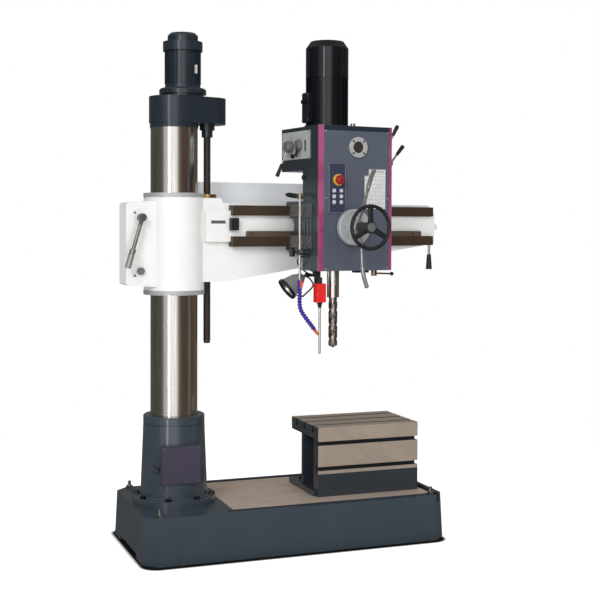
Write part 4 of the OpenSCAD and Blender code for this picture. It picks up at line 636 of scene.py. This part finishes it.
# Strokes of plain figures on a grid two wide and four tall
STROKES = {"0": "abcdef", "1": "bc", "2": "abged", "3": "abgcd", "4": "fgbc", "5": "afgcd", "6": "afgedc",
           "7": "abc", "8": "abcdefg", "9": "abcdfg"}
BARS = {"a": (0, 4, 2, 4), "b": (2, 2, 2, 4), "c": (2, 0, 2, 2), "d": (0, 0, 2, 0), "e": (0, 0, 0, 2),
        "f": (0, 2, 0, 4), "g": (0, 2, 2, 2)}
STROKE_R, INK_H = 0.3, 0.15


def digits(shape, text, middle, height):
    """Raised figures that face the front."""
    u = height / 4
    x0 = middle[0] - (len(text) * 3 - 1) * u / 2
    for i, ch in enumerate(text):
        for bar in STROKES[ch]:
            ax, az, bx, bz = BARS[bar]
            lo = (x0 + (i * 3 + ax) * u - STROKE_R, middle[1] - INK_H, middle[2] + (az - 2) * u - STROKE_R)
            hi = (x0 + (i * 3 + bx) * u + STROKE_R, middle[1] + 0.5, middle[2] + (bz - 2) * u + STROKE_R)
            shape.box(lo, hi, 0.05)


# Elevating screw: its place along the arm, its thread, the thread's ends and the gear's underside
SCREW_A, PITCH, CREST, ROOT = 159.0, 6.0, 17.0, 14.6
THREAD_LOW, THREAD_HIGH = 915.0, 1925.0
SCREW_GEAR_Z = 1933.5


def add_screw():
    """A right-hand thread as one helical strip, with the screw's point, collar, gear and journal."""
    sides = 30
    across = sides + 1
    verts = []
    rows = int((THREAD_HIGH - THREAD_LOW) / PITCH) * 4 + 1
    for i in range(rows):
        r = (ROOT, CREST, CREST, ROOT)[i % 4]
        for k in range(across):
            turn = 2 * PI * k / sides
            z = THREAD_LOW + PITCH * (i / 4 + k / sides - 1)
            verts.append((SCREW_A + r * math.cos(turn), r * math.sin(turn),
                          min(THREAD_HIGH, max(THREAD_LOW, z))))
    shape = Shape()
    shape.add(verts, [(at, at + 1, at + across + 1, at + across)
                      for i in range(rows - 1) for at in range(i * across, i * across + sides)])
    foot = (SCREW_A, 0, 0)
    shape.lathe(foot, UP, [(0, 903), (12, 903), (14.6, 906), (14.6, 917), (0, 917)], 30)
    shape.lathe(foot, UP, [(0, 1922), (26, 1922), (26, 1933), (13, 1933), (13, 1971), (0, 1971)], 30)
    gear = gear_outline(teeth=33, root=61, tip=69.5)
    shape.prism(gear, lambda x, y, h: (SCREW_A + x, y, SCREW_GEAR_Z + h), 25)
    piece("screw_thread", shape, screw_steel, "elevating_screw", replaces=["elevating_screw"])


# Feed levers, dial and handwheel share one axis
FEED_A, FEED_Z, WHEEL_B = 680.0, 1432.0, -578.0
HUB = (FEED_A, 0, FEED_Z)
LEVER_R, LEVER_HAND_R, LEVER_END_R = 7.0, 9.5, 9.0
LEVER_UP = [(680, -468, 1450), (680, -486, 1476), (680, -508, 1506), (680, -527, 1545), (682, -545, 1590),
            (685, -566, 1640), (688, -592, 1680)]
LEVER_DOWN = [(680, -468, 1414), (680, -484, 1388), (680, -497, 1355), (680, -503, 1310),
              (680, -506, 1265), (680, -522, 1215), (680, -548, 1172)]
# Dial: radii of its rim, its dots and its figures, the rim's back edge and the face
DIAL_R, DOTS_R, FIGURES_R, DIAL_RIM_B, DIAL_FACE_B = 80, 67, 54, -421, -446.6


def bent_lever(route):
    """A bent rod whose last sixteen steps are the thicker hand end."""
    path = spline(route, 8)
    n = len(path)
    radii = [LEVER_HAND_R if i > n - 17 else LEVER_R for i in range(n)]
    radii[-1] = LEVER_END_R
    return Shape().tube(path, radii, 18)


def add_feed_levers():
    for name, route in (("feed_lever_up", LEVER_UP), ("feed_lever_down", LEVER_DOWN)):
        piece(name, bent_lever(route), lever_steel, "feed_hub")
    shape = Shape().lathe(HUB, AHEAD, [
        (12.5, 349), (17, 349), (17, 440), (16, 447), (28, 447), (30, 449), (30, 488), (27, 491),
        (12.5, 491)], 48)
    for side in (1, -1):
        shape.lathe((FEED_A, -466, FEED_Z + 27 * side), (0, -0.5, 0.8 * side),
                    [(0, -8), (11, -8), (11, 6), (9, 8), (0, 8)], 24)
    gear = gear_outline(teeth=24, root=53, tip=59.5)
    shape.prism(gear, lambda x, y, h: (FEED_A + x, -335 - h, FEED_Z + y), 14)
    piece("feed_hub_boss", shape, lever_steel, "feed_hub", replaces=["feed_levers"])


def add_dial_marks():
    """Graduations on the dial's rim, and dots and figures on its face."""
    marks = Shape()
    for k, (c, s) in enumerate(circle(60)):
        long = 12 if k % 5 == 0 else 7
        mid = Vector((FEED_A + DIAL_R * c, 0, FEED_Z + DIAL_R * s))
        side = Vector((-s, 0, c)) * 0.45
        out = Vector((c, 0, s)) * 0.15
        marks.hull([mid + o + d + Vector((0, b, 0)) for o in (-out, out) for d in (side, -side)
                    for b in (DIAL_RIM_B, DIAL_RIM_B - long)])
    for c, s in circle(24, 0.5):
        marks.lathe((FEED_A + DOTS_R * c, DIAL_FACE_B, FEED_Z + DOTS_R * s), AHEAD,
                    [(0, -0.5), (1.6, -0.5), (1.6, INK_H), (0, INK_H)], 10)
    for k, (c, s) in enumerate(circle(8)):
        digits(marks, str(k * 5), (FEED_A + FIGURES_R * c, DIAL_FACE_B, FEED_Z + FIGURES_R * s), 7.0)
    piece("dial_marks", marks, print_dark, "feed_hub")


def add_handwheel():
    """A moulded rim with finger scallops, three spokes and a grey hub cap."""
    sides, scallops, rim_r, grip_r = 120, 24, 91.5, 8.9
    rim, rings = Shape(), []
    for k in range(sides):
        turn = 2 * PI * k / sides
        scallop = 0.5 + 0.5 * math.cos(turn * scallops)
        out = Vector((math.cos(turn), 0, math.sin(turn)))
        ring = []
        for j in range(20):
            t = 2 * PI * j / 20
            dip = 2.6 * scallop if math.cos(t) < -0.1 else 0.0
            r = grip_r - dip * min(1.0, -math.cos(t) * 1.4)
            ring.append(Vector((FEED_A, WHEEL_B, FEED_Z)) + out * (rim_r + r * math.cos(t))
                        + Vector((0, r * math.sin(t), 0)))
        rings.append(ring)
    rim.rings(rings, close=True)
    mid = Vector(HUB)
    for c, s in circle(3, 0.75):
        out, side = Vector((c, 0, s)), Vector((-s, 0, c))
        rim.hull([mid + out * r + side * w * d + Vector((0, b, 0))
                  for r, w in ((16, 13), (50, 9.5), (86, 11)) for d in (-1, 1) for b in (-573.5, -580)]
                 + [mid + out * r + side * w * d + Vector((0, -582, 0))
                    for r, w in ((16, 10), (84, 7)) for d in (-1, 1)])
    rim.lathe(HUB, AHEAD, [(12, 494), (19, 494), (21, 496), (21, 562), (26, 570), (26, 583), (23, 586),
                           (12, 586)], 48)
    piece("wheel_rim", rim, wheel_black, "handwheel", replaces=["handwheel"])
    cap = Shape().lathe(HUB, AHEAD, [(0, 584), (20, 584), (20, 588), (17.5, 589.8), (0, 589.9)], 40)
    piece("wheel_cap", cap, grey_mark, "handwheel")


# Drill head: the faces of its front cover, side panel and two sides, and where small parts sit
FRONT, PANEL_A, HEAD_A, RIGHT_A = -415.0, 508, 512, 884
WINDOW_A, WINDOW_Z = 708, 1786
CHART_B, KEYPAD_B = -416.65, -418.2
STOP_A, STOP_Z = 607, 1640


def add_window():
    at = (WINDOW_A, FRONT, WINDOW_Z)
    ring = Shape().lathe(at, AHEAD, [(25.4, 0), (46, 0), (46, 7.5), (44.5, 9), (28, 9), (25.4, 6.5)], 64)
    piece("window_ring", ring, ring_grey, "head", replaces=["porthole"])
    piece("window_glass", Shape().lathe(at, AHEAD, [(0, 1), (25.3, 1), (25.3, 4), (0, 5)], 48),
          window_glass, "head")
    screws = Shape()
    for c, s in circle(4, 0.5):
        cap_screw(screws, (WINDOW_A + 37 * c, FRONT - 9, WINDOW_Z + 37 * s), AHEAD, 4.4, 2.4)
    piece("window_screws", screws, bolt_black, "head")


def add_cover_print():
    """Printed lines and figures of the chart and the keypad, as thin raised ink."""
    column_w, row_h, chart_top, chart_step_z = 16.5, 17, 1687, 1660
    grid, ink = Shape(), Shape()
    for i in range(7):
        a = 751 + column_w * i
        grid.box((a - 0.4, CHART_B, 1516), (a + 0.4, -416.3, chart_top if i else chart_step_z), 0.05)
    for i in range(10):
        z = 1522 + row_h * i
        grid.box((745 if z < chart_step_z else 767, CHART_B, z - 0.4), (849, -416.3, z + 0.4), 0.05)
    piece("chart_grid", grid, print_dark, "head")
    for i, j in product(range(6), range(9)):
        if (i * 5 + j * 3) % 4 > 1:
            figure = str((i * 7 + j * 11) % 90 + 10)
            digits(ink, figure, (759 + column_w * i, -416.5, 1530.5 + row_h * j), 3.6)
    ink.box((775, CHART_B, 1679), (842, -416.3, 1682), 0.05)
    piece("chart_print", ink, chart_ink, "head")
    keys = Shape()
    for a0, a1, z0, z1 in ((562, 644, 1495, 1496), (562, 644, 1714, 1715), (562, 563, 1495, 1715),
                           (643, 644, 1495, 1715)):
        keys.box((a0, KEYPAD_B, z0), (a1, -417.9, z1), 0.05)
    for a, z in product((586, 622), (1593, 1568, 1543)):
        keys.box((a - 5, KEYPAD_B, z - 11), (a + 5, -417.9, z - 9.8), 0.05)
    piece("keypad_print", keys, silver_plate, "head")


def add_cover_parts():
    """Screws of the keypad and the side panel, the mushroom's bevel and the dark band at the top."""
    small = Shape()
    for a, z in product((564, 642), (1500, 1710)):
        small.lathe((a, -418, z), AHEAD, [(0, -0.5), (2.6, -0.5), (2.6, 0.9), (1.8, 1.6), (0, 1.6)], 16)
    for b, z in product((-326, -72), (1744, 1855)):
        small.lathe((PANEL_A, b, z), LEFT, [(0, -0.5), (3.6, -0.5), (3.6, 1), (2.6, 1.9), (0, 1.9)], 16)
    piece("plate_screws", small, bright, "head")
    piece("button_cap", Shape().lathe((STOP_A, 0, STOP_Z), AHEAD, [
        (8.7, 430.6), (18, 430.6), (20.6, 433), (21, 436), (20.4, 440), (17, 445), (9, 448.4),
        (0, 449)], 48), red_plastic, "emergency_stop")
    piece("fascia_band", Shape().box((538.4, -415.5, 1858), (869.6, -414.8, 1879.6), 0.1), dark, "head")


KNOB_LEFT, KNOB_RIGHT = (PANEL_A, -158, 1795), (PANEL_A, -240, 1798)


def add_side_panel():
    """The panel's print and window, and the two selectors."""
    scale = Shape()
    for knob, n in ((KNOB_LEFT, 9), (KNOB_RIGHT, 7)):
        for k in range(n):
            turn = PI * (0.15 + 0.7 * k / (n - 1))
            m = Vector(knob) + Vector((0, 33 * math.cos(turn), 33 * math.sin(turn)))
            scale.box(m - Vector((0.2, 0.8, 2.0)), m + Vector((0.5, 0.8, 2.0)), 0.05)
    scale.box((507.8, -330, 1858), (508.5, -326, 1861), 0.05)
    for z in (1776, 1786, 1796, 1806, 1816):
        scale.box((507.8, -314, z), (508.5, -304, z + 1.2), 0.05)
    piece("panel_print", scale, print_dark, "head")
    piece("panel_window", Shape().box((509.3, -299.4, 1769.6), (509.7, -282.6, 1819.4), 0.1),
          print_dark, "head")
    for name, at, h in (("selector_left", KNOB_LEFT, 33), ("selector_right", KNOB_RIGHT, 18)):
        knob = Shape().lathe(at, LEFT, [
            (0, 0.5), (25.5, 0.5), (26, 1.5), (26, h - 5), (23, h - 0.2), (14, h), (0, h)], 48)
        piece(name + "_knob", knob, grey_iron, name, replaces=[name])
        piece(name + "_stem", Shape().lathe(at, RIGHT, [(0, 0), (7.5, 0), (7.5, 8), (0, 8)], 24), steel,
              name)
    arm = Shape().rod((486, -158, 1785), (466, -147, 1719), 4)
    piece("selector_left_arm", arm, bright, "selector_left")
    start, end = Vector((465, -146.4, 1717)), Vector((442, -143, 1660))
    piece("selector_left_grip", Shape().lathe(start, end - start, [
        (0, 0), (6.5, 0), (7, 2), (8.8, 48), (9, 58), (7.5, 61), (0, 61.5)], 24), grip, "selector_left")
    piece("selector_right_finger", Shape().rod((497, -246, 1790), (482, -252, 1746), 7.8, 20, 3), grip,
          "selector_right")


GRIP_L = 55


def add_side_levers():
    for name, at, way, length in (("speed_lever", (RIGHT_A, -290, 1736), (48, 0, 87), 190),
                                  ("range_lever", (RIGHT_A, -380, 1722), (61, 0, 75), 105)):
        way = unit(way)
        root = Vector(at) + Vector((16, 0, 0))
        shape = Shape().lathe(at, RIGHT, [
            (0, -10), (7.5, -10), (7.5, 0.3), (13, 0.3), (13, 20), (11.5, 22.3), (0, 22.3)], 32)
        shape.rod(root, root + way * (length - 52), 5)
        piece(name + "_rod", shape, lever_steel, name, replaces=[name])
        piece(name + "_grip", Shape().lathe(root + way * (length - GRIP_L), way, [
            (0, 0), (6.8, 0), (7.4, 3), (9.6, 47), (8.8, 53), (6, 54.8), (0, GRIP_L)], 28), grip, name)


def add_saddle_details():
    """Steel wipers on the saddle's left end, and the covers and gib screws on the head beside them."""
    wiper_a, cover_a = 513.6, 509.2
    wipers, covers, screws = Shape(), Shape(), Shape()
    for z in (1340, 1480):
        wipers.box((wiper_a, -259, z), (516.2, -131.5, z + 52), 0.6)
        covers.box((cover_a, -352, z - 3), (HEAD_A + 0.2, -268, z + 55), 0.8)
        for b in (-340, -280):
            cap_screw(screws, (cover_a, b, z + 8), LEFT, 3.6, 2.2)
        for b, up in product((-246, -146), (9, 43)):
            cap_screw(screws, (wiper_a, b, z + up), LEFT, 3.2, 2.0)
    for b in (-350, -322, -290):
        covers.box((508.6, b, 1397), (HEAD_A + 0.2, b + 7, 1474), 0.8)
    piece("saddle_wipers", wipers, wiper_steel, "head")
    piece("saddle_covers", covers, cover_grey, "head")
    piece("saddle_screws", screws, bolt_black, "head")


# Work lamp: the middle of its back, and the way it points
LAMP_BACK, LAMP_AXIS = (548, -204, 1211), (-85, 12, -65)


def add_lamp():
    """Shell with its cooling steps, front ring, reflector, bulb, and the wire bail in its eye."""
    shell = Shape().lathe(LAMP_BACK, LAMP_AXIS, [
        (0, 0), (10, 0), (12, 1), (20, 12), (26, 20), (27.2, 24), (27.2, 27), (28.6, 27), (29.5, 30),
        (31.5, 30), (32.2, 34), (35, 34), (36, 38), (49.6, 92), (48.4, 92), (23, 25), (8, 17), (0, 16)], 48)
    piece("lamp_shell", shell, lamp_metal, "work_lamp", replaces=["work_lamp"])
    ring = Shape().lathe(LAMP_BACK, LAMP_AXIS, [
        (49, 91.5), (52, 91.5), (53, 93), (53, 104.5), (51.5, 106), (49.4, 105.5), (48.4, 96)], 64)
    piece("lamp_ring", ring, grip, "work_lamp")
    piece("lamp_reflector", Shape().lathe(LAMP_BACK, LAMP_AXIS, [
        (0, 20), (12, 21), (22.5, 27), (47, 91), (48, 91), (48.2, 93), (46.4, 93), (21.5, 29), (11, 23.5),
        (0, 22)], 64), reflector, "work_lamp")
    piece("lamp_bulb", Shape().lathe(LAMP_BACK, LAMP_AXIS, [
        (0, 21), (11, 22), (13, 34), (19, 56), (17, 68), (9, 76), (0, 78)], 32), bulb_glass, "work_lamp")
    eye = Shape().lathe((566, -201, 1214), AHEAD, [(3.1, 0), (8, 0), (8, 8), (3.1, 8)], 32)
    eye.rod((560.5, -205, 1213.2), (545, -205, 1210), 3.2)
    wire = spline([(571, -196, 1206), (590, -192, 1192), (604, -190, 1172), (600, -188, 1155),
                   (575, -188, 1133), (553, -188, 1115)], 6)
    wire_r = 3.6
    bail = Shape().tube(wire, wire_r, 12)
    bail.rod(wire[-1], (520, -190, 1121), wire_r)
    bail.rod(wire[0], (552, -200, 1206), wire_r)
    piece("lamp_bail", bail, grip, "work_lamp")
    piece("lamp_eye", eye, lamp_metal, "work_lamp")


# The motors' places, and the faces that the small plates and screws sit on
MOTOR_A, MOTOR_B, MOTOR_TOP, MOTOR_BOX_A = 639, -253, 2267.0, 531.0
LIFT_MOTOR_A = 41
COVER_FRONT = -156


def add_machine_details():
    """Blank plates, covers and the screws that hold them."""
    strip = Shape().box((133, -110.6, 1446), (203, -109.8, 1460), 0.2)
    piece("arm_strip", strip, grey_mark, "arm")
    lift_plate = Shape().box((LIFT_MOTOR_A + 27, -79.5, 2112), (LIFT_MOTOR_A + 38, -68, 2150), 0.4)
    piece("lift_motor_plate", lift_plate, silver_plate, "column")
    lid_a = MOTOR_BOX_A - 4
    cover = Shape().box((lid_a, -284, 1904), (MOTOR_BOX_A + 0.2, -222, 2030), 1.5)
    piece("motor_box_cover", cover, black, "head")
    small = Shape()
    for b, z in product((-279, -227), (1910, 2024)):
        cap_screw(small, (lid_a, b, z), LEFT, 3.5, 2.0)
    for c, s in circle(4, 0.5):
        small.lathe((MOTOR_A + 70 * c, MOTOR_B + 70 * s, MOTOR_TOP), UP,
                    [(0, -3), (5, -3), (5, 0.6), (0, 0.9)], 6)
    piece("motor_screws", small, bolt_zinc, "head")
    screws = Shape()
    for x, z in product((-83, 71), (316, 460)):
        screws.lathe((x, COVER_FRONT, z), AHEAD, [(0, -0.3), (5, -0.3), (5, 1.2), (4.2, 2.7), (0, 3)], 24)
    piece("cover_screws", screws, bright, "base", in_arm=False)
    lock = Shape().lathe((706, 352, 1440), BACK, [
        (0, 0), (13.5, 0), (13.5, 3), (12, 4.6), (0, 4.6)], 32)
    piece("door_lock", lock, bright, "cabinet_door")


add_screw()
add_feed_levers()
add_dial_marks()
add_handwheel()
add_window()
add_cover_print()
add_cover_parts()
add_side_panel()
add_side_levers()
add_saddle_details()
add_lamp()
add_machine_details()


# Floor: its round, its glow to the camera and to all else, and the area of its painted shadow under and
# just round the base, as middle and half along x and along y, with round corners and a soft edge
FLOOR_R, FLOOR_MID_X = 3.0, 0.5
FLOOR_GLOW, FLOOR_GLOW_UNSEEN = 0.72, 0.12
FLOOR_WHITE, FLOOR_SHADOW_PAINT = (0.82, 0.82, 0.82, 1), (0.01, 0.01, 0.01, 1)
PAINTED_SHADOW_AREA = ((0.489, 0.7165), (-0.015, 0.366))
PAINTED_SHADOW_R, PAINTED_SHADOW_EDGE = 0.08, 0.01


def add_floor():
    """A round of pale paper, with a shadow painted dark round the base. What is seen in bright metal lies
    beyond its edge.
    """
    mesh = bpy.data.meshes.new("floor")
    rim = [(FLOOR_MID_X + FLOOR_R * c, FLOOR_R * s, 0) for c, s in circle(96)]
    mesh.from_pydata(rim, [], [tuple(range(len(rim)))])
    floor = new_object("floor", mesh)
    s = Mat("floor_paper")
    path = s.t.nodes.new("ShaderNodeLightPath")
    way = s.node("ShaderNodeSeparateXYZ", Vector=s.co)
    beyond = []
    # Painted shadow: inside this rounded area round the base the floor is coloured dark and does not glow
    for k, (mid, half) in enumerate(PAINTED_SHADOW_AREA):
        off = s.math("ABSOLUTE", s.math("SUBTRACT", way.outputs[k], mid))
        out = s.math("MAXIMUM", 0.0, s.math("SUBTRACT", off, half - PAINTED_SHADOW_R))
        beyond.append(s.math("MULTIPLY", out, out))
    away = s.math("SQRT", s.math("ADD", *beyond))
    out_of_painted_shadow = s.range(away, 0.0, 1.0, PAINTED_SHADOW_R - PAINTED_SHADOW_EDGE, PAINTED_SHADOW_R + PAINTED_SHADOW_EDGE)
    glow = s.mix(path.outputs["Is Camera Ray"], FLOOR_GLOW_UNSEEN, FLOOR_GLOW, "FLOAT")
    s.set(color=s.mix(out_of_painted_shadow, FLOOR_SHADOW_PAINT, FLOOR_WHITE), rough=0.9, spec=0.0, glow=(1, 1, 1, 1),
          glow_power=s.math("MULTIPLY", out_of_painted_shadow, glow), normal=s.bump(s.noise(30, 2, 0.5), 0.02, 0.0005))
    hall = s.node("ShaderNodeEmission", Color=(0.10, 0.09, 0.08, 1), Strength=1.0)
    blend = s.t.nodes.new("ShaderNodeMixShader")
    s.feed(blend.inputs[0], path.outputs["Is Glossy Ray"])
    s.feed(blend.inputs[1], s.shader.outputs[0])
    s.feed(blend.inputs[2], hall.outputs[0])
    end = next(n for n in s.t.nodes if n.type == "OUTPUT_MATERIAL")
    s.t.links.new(blend.outputs[0], end.inputs["Surface"])
    mesh.materials.append(s.m)


# Reflected surroundings by bearing: 0.25 is the camera's left, 0.5 its own side and 0.75 its right, and
# 0 and 1 meet behind the machine
CAMERA_BEARING = math.radians(-14.4)
HALL_PEAK = 6.0
WALL, TUBE = (0.60, 0.59, 0.58), (HALL_PEAK, HALL_PEAK, HALL_PEAK)
HALL = [(0.00, (0.14, 0.13, 0.12)), (0.20, (0.07, 0.07, 0.06)), (0.32, (0.10, 0.10, 0.085)),
        (0.345, (0.16, 0.16, 0.145)), (0.365, WALL), (0.424, WALL), (0.428, TUBE), (0.440, TUBE),
        (0.444, WALL), (0.455, (0.45, 0.45, 0.44)), (0.468, (1.35, 1.33, 1.30)), (0.53, (1.30, 1.28, 1.25)),
        (0.555, (0.40, 0.37, 0.33)), (0.585, (0.11, 0.085, 0.065)), (0.69, (0.075, 0.05, 0.035)),
        (0.725, (0.22, 0.18, 0.15)), (0.76, (0.09, 0.06, 0.04)), (1.00, (0.14, 0.13, 0.12))]
# Above and below these heights of the way looked, the surroundings fade to the ceiling and the ground
CEILING_FROM, GROUND_FROM, FADE = 0.50, -0.35, 4.0
CEILING, GROUND = (0.30, 0.28, 0.26, 1), (0.05, 0.045, 0.04, 1)
# What lights the machine from all round, and what the camera sees behind it
FILL, PAGE = (0.62, 0.62, 0.6262, 1), (1, 1, 1, 1)


def add_world():
    world = bpy.data.worlds.new("hall")
    bpy.context.scene.world = world
    world.use_nodes = True
    w = Nodes(world.node_tree)
    w.t.nodes.clear()

    def past(a, b):
        """0 while a is under b, then up to 1."""
        out = w.math("MAXIMUM", 0.0, w.math("MULTIPLY", w.math("SUBTRACT", a, b), FADE))
        return w.math("SMOOTH_MIN", 1.0, out, 0.05)

    way = w.node("ShaderNodeSeparateXYZ", Vector=w.t.nodes.new("ShaderNodeTexCoord").outputs["Generated"])
    x, y, z = way.outputs
    bearing = w.math("SUBTRACT", w.math("ARCTAN2", x, w.math("MULTIPLY", y, -1.0)), CAMERA_BEARING)
    turned = w.math("FRACT", w.math("ADD", w.math("DIVIDE", bearing, 2 * PI), 0.5))
    ramp = w.t.nodes.new("ShaderNodeValToRGB")
    e = ramp.color_ramp.elements
    while len(e) < len(HALL):
        e.new(0.5)
    for stop, (pos, color) in zip(e, HALL):
        stop.position = pos
        stop.color = (*[c / HALL_PEAK for c in color], 1)
    w.feed(ramp.inputs[0], turned)
    scaled = w.t.nodes.new("ShaderNodeVectorMath")
    scaled.operation = "SCALE"
    w.feed(scaled.inputs[0], ramp.outputs[0])
    w.feed(scaled.inputs["Scale"], HALL_PEAK)
    hall = w.mix(past(z, CEILING_FROM), scaled.outputs[0], CEILING)
    hall = w.mix(past(GROUND_FROM, z), hall, GROUND)
    path = w.t.nodes.new("ShaderNodeLightPath")
    color = w.mix(path.outputs["Is Glossy Ray"], FILL, hall)
    color = w.mix(path.outputs["Is Camera Ray"], color, PAGE)
    color = w.mix(path.outputs["Is Transmission Ray"], color, PAGE)
    back = w.node("ShaderNodeBackground", Color=color)
    out = w.t.nodes.new("ShaderNodeOutputWorld")
    w.feed(out.inputs["Surface"], back.outputs[0])


def add_light(name, at, aim, size, power):
    """A lamp that is seen neither by the camera nor in bright metal."""
    data = bpy.data.lights.new(name, "AREA")
    data.shape = "RECTANGLE"
    data.size, data.size_y = size
    data.energy = power
    lamp = new_object(name, data)
    lamp.location = at
    lamp.rotation_euler = (Vector(aim) - Vector(at)).to_track_quat("-Z", "Y").to_euler()
    lamp.visible_glossy = False
    lamp.visible_camera = False


add_floor()
add_world()
add_light("key_light", (-3.6, -4.6, 4.6), (0.4, 0, 1.1), (2.2, 2.2), 210)
add_light("front_fill", (2.2, -5.2, 2.6), (0.5, 0, 1.2), (3.0, 2.4), 90)

bpy.context.scene.view_settings.view_transform = "Standard"
